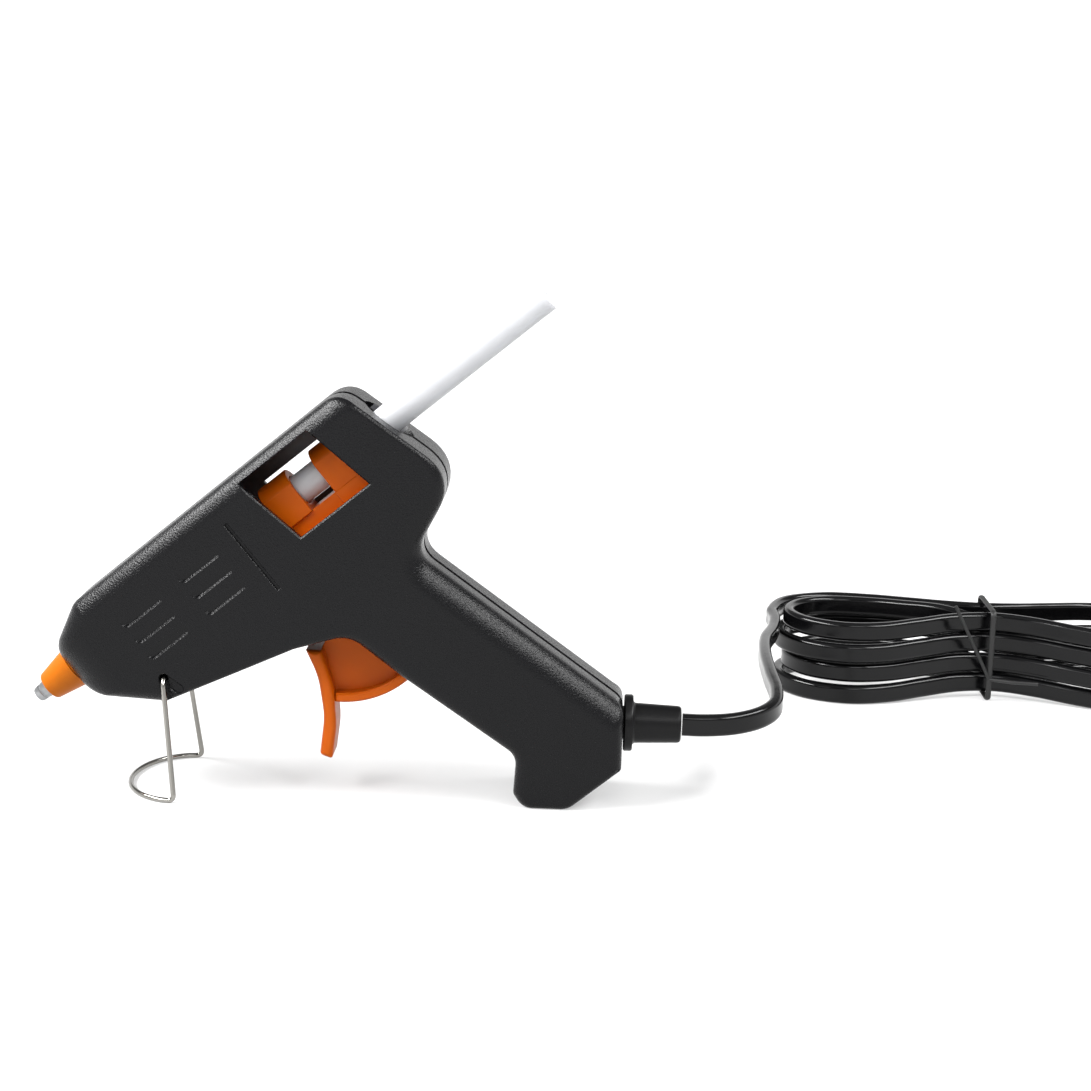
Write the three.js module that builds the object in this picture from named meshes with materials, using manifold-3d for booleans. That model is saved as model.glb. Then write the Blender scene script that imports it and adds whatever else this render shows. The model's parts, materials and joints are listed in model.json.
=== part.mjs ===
// Mini hot glue applicator: a pistol-shaped housing in two halves, with a heated nozzle,
// a trigger that feeds a glue stick forward, a wire stand and a flat twin cord.
// Millimetres, +Z up. X runs from the nozzle to the cord, Y from the near to the far side.
// The barrel's own frame is used for most pieces: x along the barrel axis from the nozzle
// tip towards the stick, y across the body and z square to the barrel, up.

import * as THREE from 'three';
import { mergeVertices } from 'three/addons/utils/BufferGeometryUtils.js';
import Module from 'manifold-3d';

const wasm = await Module();
wasm.setup();

// Housing
const housingLength = 112; // nozzle tip to the lower corner of the back face
const gripDepth = 95.7; // barrel axis down to the flat of the heel
const halfWidth = 12.5;
const wallThickness = 2;
const ribThickness = 1.6;
const seamGap = 0.3;
const barrelTiltDegrees = 40;

// Clearances
const fitGap = 0.3; // between pieces that seat on each other
const slideGap = 0.4; // beside pieces that slide or turn
const looseGap = 0.9; // round the bundled cord
const overrun = 3; // how far a cutting shape runs past what it cuts
const mergeReach = 0.0001; // corners closer than this are one

// Glue stick
const stickDiameter = 7.2;
const stickLength = 100;
const stickSeat = 52.2; // nozzle tip to the front end of the stick

// Nozzle and melt chamber
const tipRadius = 1.85;
const tipBore = 0.8;
const tipReach = 0.4; // how far the tip stands out before the origin
const tipRounding = 0.6;
const nozzleRadius = 3.8; // where the nozzle passes the housing's front wall
const chamberRadius = 5.6;
const chamberFront = 17;
const chamberRear = 50;
const chamberBlockDepth = 6; // barrel axis down to the flat that the heater lies on
const spigotRadius = 4.9;
const spigotLength = 6;
const coverFront = 3.2;
const coverFrontRadius = 3.5;
const coverRearRadius = 5.1;
const coverWall = 0.8;
const coverNeckRadius = 4.6;
const coverFlangeRadius = 5.6;
const coverFlangeThickness = 1.4;

// Heater
const heaterLength = 20;
const heaterThickness = 2.2;
const heaterHalfWidth = 4.2;
const insulationThickness = 0.5;
const clipThickness = 0.6;
const clipLength = 11;

// Stick sleeve
const sleeveWall = 1.2;
const sleeveLength = 12.7;
const sleeveRingRadius = 0.5;

// Trigger and feeder
const pullDegrees = 24;
const driveArm = 13.65; // trigger pivot up to the drive pin
const drivePinRadius = 1.2;
const drivePinHalfLength = 4.9;
const pivotPinRadius = 1.5;
const pivotBossRadius = 3.6;
const hubRadius = 4;
const hubHalfWidth = 5;
const forkWall = 1.4;
const lugHalfWidth = 2.6;
const lugHalfLength = 2.2;
const barHalfWidth = 5.4; // finger bar
const barEdgeRounding = 0.9;
const webThickness = 2.4;
const rimRadius = 23.6;
const rimThickness = 2.1;
const rimHalfWidth = 4.4;
const ringRadius = 5.8;
const ringFlat = 5.3; // half the width over the flats of the feeder rings
const ringSkirt = 5.5; // barrel axis down to the rings' lower edge
const frontRingLength = 8.2;
const rearRingLength = 9.2;
const feederLength = 24.3;
const feederFront = 71.7;
const feederBarHeight = 3.4;
const feederBarHalfWidth = 4.5;
const runnerHeight = 1.6;
const runnerHalfWidth = 7.4;
const railThickness = 1.5;
const toothThickness = 0.8;
const toothHalfWidth = 2.5;
const toothHeight = 1.6;
const springWireRadius = 0.35;
const springCoilRadius = 2.9;
const springTurns = 3.35;
const springPitch = 0.8;
const springLeg = 9; // pivot out to the ends of the spring's legs
const springPostRadius = 1.2;

// Wire stand
const wireRadius = 0.6;
const wireBend = 2.2;
const footHalfWidth = 18;
const footReach = 13.2; // how far the foot loop runs forward of the legs
const legLean = 3.4; // how far the foot lies behind the pivot
const grooveLeanDegrees = 10.58; // of the grooves that the legs fold into, from upright
const standPinDepth = 3.4; // how far the wire's ends run into the housing
const legGrooveLength = 8.6;
const detentGrooveLength = 4.3;
const detentDegrees = -75;

// Windows, vents and marks of the housing
const windowNearHeight = 18.3;
const windowFarHeight = 10.5;
const windowWidth = 20;
const windowFarWidth = 18;
const windowRakeDegrees = 11;
const ventLength = 11.2;
const ventWidth = 1.9;
const ventPitch = 4.7;
const ventDepth = 0.7;
const ventGroupStep = 17;
const stepGrooveWidth = 0.8;
const stepGrooveDepth = 0.5;
const stepGrooveLength = 19;
const entryRadius = 6.6;
const entryDepth = 2.6;

// Fasteners
const screwRadius = 1.3;
const screwHeadRadius = 2.4;
const screwHeadHeight = 1.6;
const screwLength = 15;
const screwSink = 2.2; // depth of the head's recess in the far half
const bossWall = 1.4;
const clampScrewRadius = 1;
const clampScrewHeadRadius = 1.9;
const clampScrewHeadHeight = 1.2;
const clampScrewLength = 5;
const clampScrewSpacing = 10.6;

// Cord and gland
const cordWidth = 5.2;
const cordThickness = 3.2;
const glandHeight = 18.2; // floor to the gland's axis
const glandFlangeRadius = 6.65;
const glandFlangeThickness = 2.2;
const glandNeckRadius = 3.9;
const glandSleeveRadius = 4.7;
const glandSleeveTip = 4.3;
const glandSleeveLength = 11.2;
const glandCollarRadius = 4.9;
const glandCollarThickness = 1.6;
const cordTailLength = 29.4;
const clampClearance = 2.68278; // inner wall to the clamp bar's upper end
const clampBarLength = 15;
const clampBarHeight = 5;
const clampBarThickness = 2;
const leadRadius = 0.9;
const leadSpacing = 2.6;
const hankLoops = 4;
const hankRun = 78;
const hankFold = 15.6;
const hankWaist = 2.6; // middle of the bundle out to the innermost strand, at the tie
const strandPitch = 4.8;
const layerPitch = 5.8;
const hankTailRun = 30;
const tieThickness = 0.9;
const tieWidth = 2.4;
const tieTailRadius = 0.5;
const plugLength = 33;
const plugHalfWidth = 17.5;
const plugHalfHeight = 6.8;
const plugEdgeRounding = 1.6;
const plugPinRadius = 2;
const plugPinLength = 19;
const plugPinSpacing = 18.6;

// Places in the side view are shares of the housing's length and grip depth
const along = (share) => share * housingLength;
const rise = (share) => share * gripDepth;
const placeOf = ([alongShare, riseShare]) => [along(alongShare), rise(riseShare)];
const placeShares = {
  pivot: [0.634, -0.2837],
  stand: [0.266, -0.1468],
  frontRib: [0.17, -0.17],
  rearRib: [0.43, -0.079],
  sleeveRib: [0.535, -0.125],
  firstVent: [0.274, 0.014],
  stepGroove: [0.568, 0.05],
  nearWindow: [0.6585, 0.0115],
  farWindow: [0.6505, 0.01],
};
const ribTopShare = 0.13;

const radians = THREE.MathUtils.degToRad;
const barrelTilt = radians(barrelTiltDegrees);
const pullAngle = radians(pullDegrees);
const cosTilt = Math.cos(barrelTilt);
const sinTilt = Math.sin(barrelTilt);

// Plastics, metals and the rest: colour, roughness, metalness
const shades = {
  black: [0x28282a, 0.55, 0],
  orange: [0xc8601a, 0.4, 0],
  aluminium: [0xc9cacb, 0.35, 0.9],
  steel: [0xc4c4c0, 0.25, 1],
  spring: [0x9a9b9c, 0.35, 1],
  ceramic: [0xd9d4c8, 0.7, 0],
  mica: [0xb08d57, 0.8, 0],
  silicone: [0xb34a2e, 0.6, 0],
  glue: [0xe9e9e6, 0.4, 0],
  pvc: [0x18181a, 0.3, 0],
  leadRed: [0x9c2b22, 0.5, 0],
  leadBlue: [0x2b4b8f, 0.5, 0],
  brass: [0xc9b27a, 0.3, 1],
};

function material(shade) {
  const [color, roughness, metalness] = shades[shade];
  return new THREE.MeshStandardMaterial({ color, roughness, metalness });
}

// Solids

function signedVolume(geometry) {
  const place = geometry.getAttribute('position');
  const order = geometry.index.array;
  const corner = [new THREE.Vector3(), new THREE.Vector3(), new THREE.Vector3()];
  let sum = 0;
  for (let i = 0; i < order.length; i += 3) {
    corner.forEach((point, k) => point.fromBufferAttribute(place, order[i + k]));
    sum += corner[0].dot(corner[1].cross(corner[2]));
  }
  return sum;
}

// A closed mesh with merged corners, no collapsed faces, and its faces pointing out
function closed(geometry) {
  const bare = geometry.clone();
  bare.deleteAttribute('normal');
  bare.deleteAttribute('uv');
  const merged = mergeVertices(bare, mergeReach);
  const order = Array.from(merged.index.array);
  const kept = [];
  for (let i = 0; i < order.length; i += 3) {
    const [a, b, c] = order.slice(i, i + 3);
    if (a !== b && b !== c && c !== a) kept.push(a, b, c);
  }
  merged.setIndex(kept);
  if (signedVolume(merged) < 0) merged.setIndex(kept.reverse());
  return merged;
}

function solid(geometry) {
  const merged = closed(geometry);
  const vertProperties = new Float32Array(merged.getAttribute('position').array);
  const triVerts = new Uint32Array(merged.index.array);
  return new wasm.Manifold(new wasm.Mesh({ numProp: 3, vertProperties, triVerts }));
}

const joined = (solids) => solids.reduce((all, next) => all.add(next));

function geometryOf(body) {
  const mesh = body.getMesh();
  const geometry = new THREE.BufferGeometry();
  geometry.setAttribute('position', new THREE.BufferAttribute(mesh.vertProperties, 3));
  geometry.setIndex(new THREE.BufferAttribute(mesh.triVerts, 1));
  return geometry;
}

const shapeOf = (points) => new THREE.Shape(points.map(([x, y]) => new THREE.Vector2(x, y)));

// A prism whose outline lies in the barrel's side view, between two places across the body
function prismAcross(points, from, to) {
  const geometry = new THREE.ExtrudeGeometry(shapeOf(points), { depth: to - from, bevelEnabled: false });
  geometry.rotateX(Math.PI / 2);
  geometry.translate(0, to, 0);
  return solid(geometry);
}

// A prism whose outline is the cross-section seen along the barrel, in across and up
function prismAlong(points, from, to) {
  const geometry = new THREE.ExtrudeGeometry(shapeOf(points), { depth: to - from, bevelEnabled: false });
  const turn = new THREE.Matrix4().makeBasis(
    new THREE.Vector3(0, 1, 0),
    new THREE.Vector3(0, 0, 1),
    new THREE.Vector3(1, 0, 0),
  );
  geometry.applyMatrix4(turn);
  geometry.translate(from, 0, 0);
  return solid(geometry);
}

function block(fromX, toX, fromY, toY, fromZ, toZ) {
  const geometry = new THREE.BoxGeometry(toX - fromX, toY - fromY, toZ - fromZ);
  geometry.translate((fromX + toX) / 2, (fromY + toY) / 2, (fromZ + toZ) / 2);
  return solid(geometry);
}

// A turned piece about the barrel axis, from a closed profile of [along, radius]
function turnedAlong(profile, sides) {
  const points = [...profile, profile[0]].map(([x, radius]) => new THREE.Vector2(radius, x));
  const geometry = new THREE.LatheGeometry(points, sides);
  geometry.rotateZ(-Math.PI / 2);
  return geometry;
}

// A turned piece about a line across the body, from a closed profile of [across, radius]
function turnedAcross(profile, sides, centre) {
  const points = [...profile, profile[0]].map(([y, radius]) => new THREE.Vector2(radius, y));
  const geometry = new THREE.LatheGeometry(points, sides);
  geometry.translate(centre[0], 0, centre[1]);
  return geometry;
}

const pinAcross = (centre, radius, from, to, sides) => solid(
  turnedAcross([[from, 0], [from, radius], [to, radius], [to, 0]], sides, centre),
);

const rodAlong = (radius, from, to, sides) => solid(
  turnedAlong([[from, 0], [from, radius], [to, radius], [to, 0]], sides),
);

function mirroredAcross(body) {
  const copy = geometryOf(body);
  copy.scale(1, -1, 1);
  return solid(copy);
}

// A tube through a line of points, with its section given as across and along the bend
function tube(points, section, steps) {
  const line = new THREE.CatmullRomCurve3(points, false, 'centripetal');
  return new THREE.ExtrudeGeometry(shapeOf(section), { steps, extrudePath: line, bevelEnabled: false });
}

function polygon(radius, sides) {
  const turn = (2 * Math.PI) / sides;
  return Array.from({ length: sides }, (_, i) => [
    radius * Math.cos((i + 0.5) * turn),
    radius * Math.sin((i + 0.5) * turn),
  ]);
}

function arcPoints(centre, radius, fromDegrees, toDegrees, steps) {
  return Array.from({ length: steps + 1 }, (_, i) => {
    const angle = radians(THREE.MathUtils.lerp(fromDegrees, toDegrees, i / steps));
    return [centre[0] + radius * Math.cos(angle), centre[1] + radius * Math.sin(angle)];
  });
}

// A straight slot with round ends between two points of the side view
function slotOutline(start, end, radius, steps) {
  const heading = THREE.MathUtils.radToDeg(Math.atan2(end[1] - start[1], end[0] - start[0]));
  const right = heading - 90;
  const left = heading + 90;
  const endArc = arcPoints(end, radius, right, left, steps);
  const startArc = arcPoints(start, radius, left, right + 360, steps);
  return [...endArc, ...startArc];
}

// Housing outline, anticlockwise in the side view. Each corner: place along and up, how round
// the corner is, and how round the edge is that runs from it to the next corner. The first
// two are shares of the housing's length and grip depth, the others shares of its half width.
const housingCornerShares = [
  [0.101, -0.061, 0.08, 0.28], // lower corner of the nose
  [0.249, -0.2005, 0.24, 0.12], // belly, ahead of the stand
  [0.384, -0.235, 0.8, 0.12],
  [0.503, -0.277, 0.8, 0.12], // trigger opening starts
  [0.622, -0.347, 0.6, 0.24], // inner corner of the trigger opening
  [0.652, -0.496, 0.8, 0.24], // front of the grip
  [0.726, -0.83, 0.32, 0.24], // above the toe
  [0.67, -0.892, 0.16, 0.24], // toe
  [0.67, -0.925, 0.18, 0.12],
  [0.7464, -1, 0.08, 0.12], // heel flat, front
  [0.8846, -1, 0.08, 0.12], // heel flat, rear
  [0.9688, -0.883, 0.24, 0.48], // top of the cord face
  [0.848, -0.288, 0.32, 0.24], // neck
  [1, -0.1985, 0.4, 0.08], // lower corner of the back face
  [0.9205, 0.136, 0.44, 0.4], // upper corner of the back face
  [0.181, 0.1264, 0.32, 0.4], // nose shoulder
  [0.124, 0.0857, 0.16, 0.4],
  [0.101, 0.0596, 0.08, 0.4], // upper corner of the nose
];

const housingCorners = housingCornerShares.map(([alongShare, riseShare, roundShare, edgeShare]) => ({
  place: new THREE.Vector2(...placeOf([alongShare, riseShare])),
  round: roundShare * halfWidth,
  edge: edgeShare * halfWidth,
}));

// One ring of the housing: the outline drawn in by each edge's own inset, with its corners
// rounded, and a depth across the body for each point
function outlineRing(corners, insetOf, depthOf, arcStepsOf) {
  const count = corners.length;
  const lines = corners.map((corner, i) => {
    const next = corners[(i + 1) % count];
    const heading = next.place.clone().sub(corner.place).normalize();
    const inward = new THREE.Vector2(-heading.y, heading.x);
    const inset = insetOf(corner.edge);
    const from = corner.place.clone().addScaledVector(inward, inset);
    return { from, heading, inset, depth: depthOf(corner.edge) };
  });
  const points = [];
  corners.forEach((corner, i) => {
    const before = lines[(i + count - 1) % count];
    const after = lines[i];
    const turn = before.heading.cross(after.heading);
    const reach = after.from.clone().sub(before.from).cross(after.heading) / turn;
    const apex = before.from.clone().addScaledVector(before.heading, reach);
    const drawnIn = (before.inset + after.inset) / 2;
    const round = Math.max(corner.round - Math.sign(turn) * drawnIn, corner.round / 8);
    const halfTurn = Math.asin(THREE.MathUtils.clamp(turn, -1, 1)) / 2;
    const tangent = round * Math.abs(Math.tan(halfTurn));
    const start = apex.clone().addScaledVector(before.heading, -tangent);
    const end = apex.clone().addScaledVector(after.heading, tangent);
    const steps = arcStepsOf(corner.round);
    for (let k = 0; k <= steps; k += 1) {
      const share = k / steps;
      const point = start.clone().lerp(apex, share).lerp(apex.clone().lerp(end, share), share);
      const depth = THREE.MathUtils.lerp(before.depth, after.depth, share);
      points.push(new THREE.Vector3(point.x, depth, point.y));
    }
  });
  return points;
}

// A solid between rings of equal count, closed by a flat face at each end
function loft(rings) {
  const count = rings[0].length;
  const positions = rings.flat().flatMap((point) => [point.x, point.y, point.z]);
  const order = [];
  for (let ring = 0; ring + 1 < rings.length; ring += 1) {
    for (let i = 0; i < count; i += 1) {
      const a = ring * count + i;
      const b = ring * count + ((i + 1) % count);
      order.push(a, b, a + count, b, b + count, a + count);
    }
  }
  const flat = (ring) => ring.map((point) => new THREE.Vector2(point.x, point.z));
  THREE.ShapeUtils.triangulateShape(flat(rings[0]), []).forEach(([a, b, c]) => order.push(a, c, b));
  const last = (rings.length - 1) * count;
  THREE.ShapeUtils.triangulateShape(flat(rings[rings.length - 1]), [])
    .forEach(([a, b, c]) => order.push(last + a, last + b, last + c));
  const geometry = new THREE.BufferGeometry();
  geometry.setAttribute('position', new THREE.Float32BufferAttribute(positions, 3));
  geometry.setIndex(order);
  return geometry;
}

const outerSteps = (round) => (round > halfWidth / 2 ? 5 : 3);
const innerSteps = () => 2;

// The far half of a rounded body: from a place near the parting plane out to the side face
function halfBody(from, wall, quarterSteps, arcStepsOf) {
  const face = halfWidth - wall;
  const softest = wallThickness / 4;
  const edgeLeft = (edge) => Math.max(edge - wall, softest);
  const rings = [outlineRing(housingCorners, () => wall, () => from, arcStepsOf)];
  for (let k = 0; k <= quarterSteps; k += 1) {
    const angle = (Math.PI / 2) * (k / quarterSteps);
    const insetOf = (edge) => wall + edgeLeft(edge) * (1 - Math.cos(angle));
    const depthOf = (edge) => face - edgeLeft(edge) * (1 - Math.sin(angle));
    rings.push(outlineRing(housingCorners, insetOf, depthOf, arcStepsOf));
  }
  return solid(loft(rings));
}

// Key places in the side view, as [along, up]
const pivotPlace = placeOf(placeShares.pivot);
const drivePinPlace = [pivotPlace[0] + driveArm * Math.tan(pullAngle / 2), pivotPlace[1] + driveArm];
const standPlace = placeOf(placeShares.stand);
const screwPlaceShares = [[0.395, 0.093], [0.45, -0.185], [0.955, -0.15], [0.765, -0.6], [0.765, -0.918]];
const screwPlaces = screwPlaceShares.map(placeOf);
const fromPivot = (radius, degrees) => arcPoints(pivotPlace, radius, degrees, degrees, 1)[0];

// The object's own upright frame. The floor is the heel's lowest point, and the origin stays
// at the nozzle tip until the whole is set down.
const upright = ([x, z]) => [x * cosTilt - z * sinTilt, x * sinTilt + z * cosTilt];
const cornerHeights = housingCorners.map((corner) => upright([corner.place.x, corner.place.y])[1]);
const floorLevel = Math.min(...cornerHeights);
const heelRear = housingCorners[10].place;
const cordFaceX = upright([heelRear.x, heelRear.y])[0];
const glandLevel = floorLevel + glandHeight;
const glandMouthX = cordFaceX + fitGap + glandFlangeThickness + glandSleeveLength;

// Lines and faces that several pieces share
const innerFace = halfWidth - wallThickness;
const noseFace = along(housingCornerShares[0][0]);
const coverFlangeFront = noseFace + wallThickness + fitGap;
const coverFlangeRear = coverFlangeFront + coverFlangeThickness;
const chamberSeat = chamberRadius + fitGap;
const frontRibPlace = placeOf(placeShares.frontRib);
const rearRibPlace = placeOf(placeShares.rearRib);
const sleeveRibPlace = placeOf(placeShares.sleeveRib);
const stickBore = stickDiameter / 2 + fitGap;
const sleeveOuter = stickBore + sleeveWall;
const heaterFront = (frontRibPlace[0] + rearRibPlace[0] + ribThickness - heaterLength) / 2;
const heaterTop = -chamberBlockDepth - fitGap;
const insulationTop = heaterTop - heaterThickness - fitGap;
const barBottom = -ringSkirt - feederBarHeight;
const runnerBottom = barBottom - runnerHeight;
const railTop = runnerBottom - fitGap;
const feederRear = feederFront + feederLength;
const springStart = hubHalfWidth + fitGap + springWireRadius;
const springEnd = springStart + springTurns * springPitch + springWireRadius;

function backFaceAt(up) {
  const low = housingCorners[13].place;
  const high = housingCorners[14].place;
  return THREE.MathUtils.mapLinear(up, low.y, high.y, low.x, high.x);
}

const entryFloor = backFaceAt(0) - entryDepth;

// The torsion spring's legs lie a wire and a gap behind the web, and under the post
const webFrontDegrees = 205;
const rimFrontDegrees = 226;
const webRearDegrees = 282;
const legBehindWeb = THREE.MathUtils.radToDeg(Math.asin((springWireRadius + fitGap) / springLeg));
const triggerLegDegrees = webRearDegrees + legBehindWeb;
const housingLegDegrees = 20;
const postOffset = springWireRadius + fitGap + springPostRadius;
const postLift = THREE.MathUtils.radToDeg(Math.asin(postOffset / springLeg));
const springPostPlace = fromPivot(springLeg, housingLegDegrees + postLift);

// Ribs, rails and bosses of the housing. They are given for the far half.

function ringRib([front, low], bore) {
  const rear = front + ribThickness;
  const rib = block(front, rear, seamGap / 2, halfWidth, low, rise(ribTopShare));
  return rib.subtract(rodAlong(bore, front - overrun, rear + overrun, 24));
}

function feederRail() {
  const front = sleeveRibPlace[0] + ribThickness / 2;
  const inner = hubHalfWidth + fitGap;
  return block(front, feederRear + slideGap, inner, halfWidth, railTop - railThickness, railTop);
}

function screwBoss(place) {
  return pinAcross(place, screwRadius + fitGap + bossWall, seamGap / 2, halfWidth, 16);
}

function entryCollar() {
  return rodAlong(entryRadius + wallThickness, entryFloor - wallThickness, 2 * housingLength, 28);
}

function sharedRibs() {
  return [
    ringRib(frontRibPlace, chamberSeat),
    ringRib(rearRibPlace, chamberSeat),
    ringRib(sleeveRibPlace, sleeveOuter + fitGap),
    feederRail(),
    entryCollar(),
    ...screwPlaces.map(screwBoss),
  ];
}

// Cutting shapes of the housing, given for the far half

function ventCuts() {
  const cuts = [];
  const [firstFront, firstLevel] = placeOf(placeShares.firstVent);
  for (let group = 0; group < 2; group += 1) {
    for (let row = 0; row < 3; row += 1) {
      const front = firstFront + group * ventGroupStep + ventWidth / 2;
      const rear = front + ventLength - ventWidth;
      const level = firstLevel - row * ventPitch;
      const outline = slotOutline([front, level], [rear, level], ventWidth / 2, 4);
      cuts.push(prismAcross(outline, halfWidth - ventDepth, halfWidth + overrun));
    }
  }
  return cuts;
}

function stepGroove() {
  const [front, top] = placeOf(placeShares.stepGroove);
  const inner = halfWidth - stepGrooveDepth;
  return block(front, front + stepGrooveWidth, inner, halfWidth + overrun, top - stepGrooveLength, top);
}

// The stand's pin hole, the groove that its leg stands in, and a shorter groove that the leg
// clicks into when it is turned back
function standCuts() {
  const grooveRadius = wireRadius + slideGap;
  const legDown = -90 - barrelTiltDegrees + grooveLeanDegrees;
  const groove = (degrees, length, depth) => {
    const end = arcPoints(standPlace, length, degrees, degrees, 1)[0];
    const outline = slotOutline(standPlace, end, grooveRadius, 4);
    return prismAcross(outline, halfWidth - depth, halfWidth + overrun);
  };
  return [
    pinAcross(standPlace, grooveRadius, halfWidth - standPinDepth - fitGap, halfWidth + overrun, 12),
    groove(legDown, legGrooveLength, 2 * wireRadius + fitGap),
    groove(detentDegrees, detentGrooveLength, wireRadius),
  ];
}

const nozzleHole = () => rodAlong(coverNeckRadius + fitGap, 0, coverFlangeFront, 24);

function flangePocket() {
  return rodAlong(coverFlangeRadius + fitGap, noseFace + wallThickness, coverFlangeRear + fitGap, 24);
}

const stickEntry = () => rodAlong(entryRadius, entryFloor, 2 * housingLength, 28);

function stickHole() {
  return rodAlong(stickBore + slideGap, entryFloor - overrun - wallThickness, 2 * housingLength, 24);
}

// Slot in the parting edge that the trigger's web and rim swing through
function triggerSlot() {
  const reach = rimRadius + slideGap;
  const last = webRearDegrees + pullDegrees + pullDegrees / 8;
  const outline = [pivotPlace, ...arcPoints(pivotPlace, reach, webFrontDegrees - pullDegrees / 4, last, 16)];
  return prismAcross(outline, -rimHalfWidth - slideGap, rimHalfWidth + slideGap);
}

// A turned shape about the cord's axis, given in the upright frame
function turnedAtGland(profile, sides) {
  const geometry = turnedAlong(profile, sides);
  geometry.translate(0, 0, glandLevel);
  return geometry;
}

function glandHole() {
  const radius = glandNeckRadius + fitGap;
  const from = cordFaceX - wallThickness - overrun;
  const to = cordFaceX + overrun;
  const geometry = turnedAtGland([[from, 0], [from, radius], [to, radius], [to, 0]], 20);
  return solid(geometry.rotateY(barrelTilt));
}

function housingShell() {
  const outer = halfBody(seamGap / 2, 0, 4, outerSteps);
  const hollow = halfBody(-overrun, wallThickness, 2, innerSteps);
  const ribs = joined(sharedRibs()).intersect(outer);
  const cuts = [nozzleHole(), flangePocket(), stickEntry(), stickHole(), triggerSlot(), glandHole()];
  const marks = [...ventCuts(), stepGroove(), ...standCuts()];
  return outer.subtract(hollow).add(ribs).subtract(joined([...cuts, ...marks]));
}

function windowOutline([front, centreUp], width, height) {
  const lean = (height / 2) * Math.tan(radians(windowRakeDegrees));
  const low = centreUp - height / 2;
  const high = centreUp + height / 2;
  return [
    [front + lean, low],
    [front + lean + width, low],
    [front - lean + width, high],
    [front - lean, high],
  ];
}

function pivotBoss(from) {
  return pinAcross(pivotPlace, pivotBossRadius, from, innerFace + wallThickness / 2, 20);
}

const pivotHole = () => pinAcross(pivotPlace, pivotPinRadius + fitGap, -innerFace, innerFace, 16);

// Upright place of the inner wall behind the cord's end at a height: the cord face, and above
// its top the grip's rear, which leans away
function innerWallAt(level) {
  const [low, high] = [11, 12].map((i) => new THREE.Vector2(...upright(housingCorners[i].place.toArray())));
  const lean = (high.x - low.x) / (high.y - low.y);
  const grip = low.x + lean * (level - low.y) - wallThickness * Math.hypot(1, lean);
  return Math.min(cordFaceX - wallThickness - 2 * fitGap - glandCollarThickness, grip);
}

// Pad in the far half that the cord is clamped on, with a boss for each clamp screw
const clampX = innerWallAt(glandLevel + clampBarLength / 2) - clampClearance - clampBarHeight / 2;
const clampPadFace = cordThickness / 2 + fitGap;
const clampBarFace = -clampPadFace;
const clampLevels = [-clampScrewSpacing / 2, clampScrewSpacing / 2].map((offset) => glandLevel + offset);

function clampPad() {
  const halfLength = clampBarLength / 2;
  const halfHeight = clampBarHeight / 2;
  const pad = block(
    clampX - halfHeight,
    clampX + halfHeight,
    clampPadFace,
    innerFace + wallThickness / 2,
    glandLevel - halfLength,
    glandLevel + halfLength,
  );
  const boss = (level) => pinAcross(
    [clampX, level],
    clampScrewHeadRadius + fitGap / 2,
    clampBarFace + fitGap,
    innerFace,
    14,
  );
  const hole = (level) => pinAcross(
    [clampX, level],
    clampScrewRadius + fitGap,
    clampBarFace,
    clampScrewLength,
    12,
  );
  const whole = joined([pad, ...clampLevels.map(boss)]).subtract(joined(clampLevels.map(hole)));
  return solid(geometryOf(whole).rotateY(barrelTilt));
}

const springPost = () => pinAcross(
  springPostPlace,
  springPostRadius,
  springEnd - 3 * springWireRadius,
  innerFace + wallThickness / 2,
  12,
);

const screwTip = halfWidth - screwSink + fitGap - screwLength;

function housingFar(shell) {
  const outline = windowOutline(placeOf(placeShares.farWindow), windowFarWidth, windowFarHeight);
  const window = prismAcross(outline, innerFace - 2 * overrun, halfWidth + overrun);
  const holes = screwPlaces.flatMap((place) => [
    pinAcross(place, screwRadius + fitGap, -overrun, halfWidth, 14),
    pinAcross(place, screwHeadRadius + fitGap, halfWidth - screwSink, halfWidth + overrun, 16),
  ]);
  const added = joined([shell, pivotBoss(springEnd + fitGap), clampPad(), springPost()]);
  return added.subtract(joined([window, pivotHole(), ...holes]));
}

function housingNear(shell) {
  const outline = windowOutline(placeOf(placeShares.nearWindow), windowWidth, windowNearHeight);
  const window = prismAcross(outline, -halfWidth - overrun, -innerFace + 2 * overrun);
  const hole = (place) => pinAcross(place, screwRadius + fitGap, screwTip - fitGap, overrun, 14);
  const holes = screwPlaces.map(hole);
  const boss = mirroredAcross(pivotBoss(hubHalfWidth + fitGap));
  return mirroredAcross(shell).add(boss).subtract(joined([window, pivotHole(), ...holes]));
}

function housingScrew(place) {
  const seat = halfWidth - screwSink + fitGap;
  const top = seat + screwHeadHeight;
  const domed = top - screwHeadHeight / 4;
  const profile = [
    [screwTip, 0],
    [screwTip + screwRadius, screwRadius],
    [seat, screwRadius],
    [seat, screwHeadRadius],
    [domed, screwHeadRadius],
    [top, screwHeadRadius / 2],
    [top, 0],
  ];
  return closed(turnedAcross(profile, 12, place));
}

// Nozzle, chamber and heater

function nozzleCover() {
  const shoulder = noseFace - fitGap;
  const innerFront = coverFrontRadius - coverWall;
  const profile = [
    [coverFront, innerFront],
    [coverFront, coverFrontRadius],
    [shoulder, coverRearRadius],
    [shoulder, coverNeckRadius],
    [coverFlangeFront, coverNeckRadius],
    [coverFlangeFront, coverFlangeRadius],
    [coverFlangeRear, coverFlangeRadius],
    [coverFlangeRear, coverFlangeRadius - fitGap],
    [shoulder + wallThickness, nozzleRadius + fitGap],
  ];
  return closed(turnedAlong(profile, 32));
}

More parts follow.
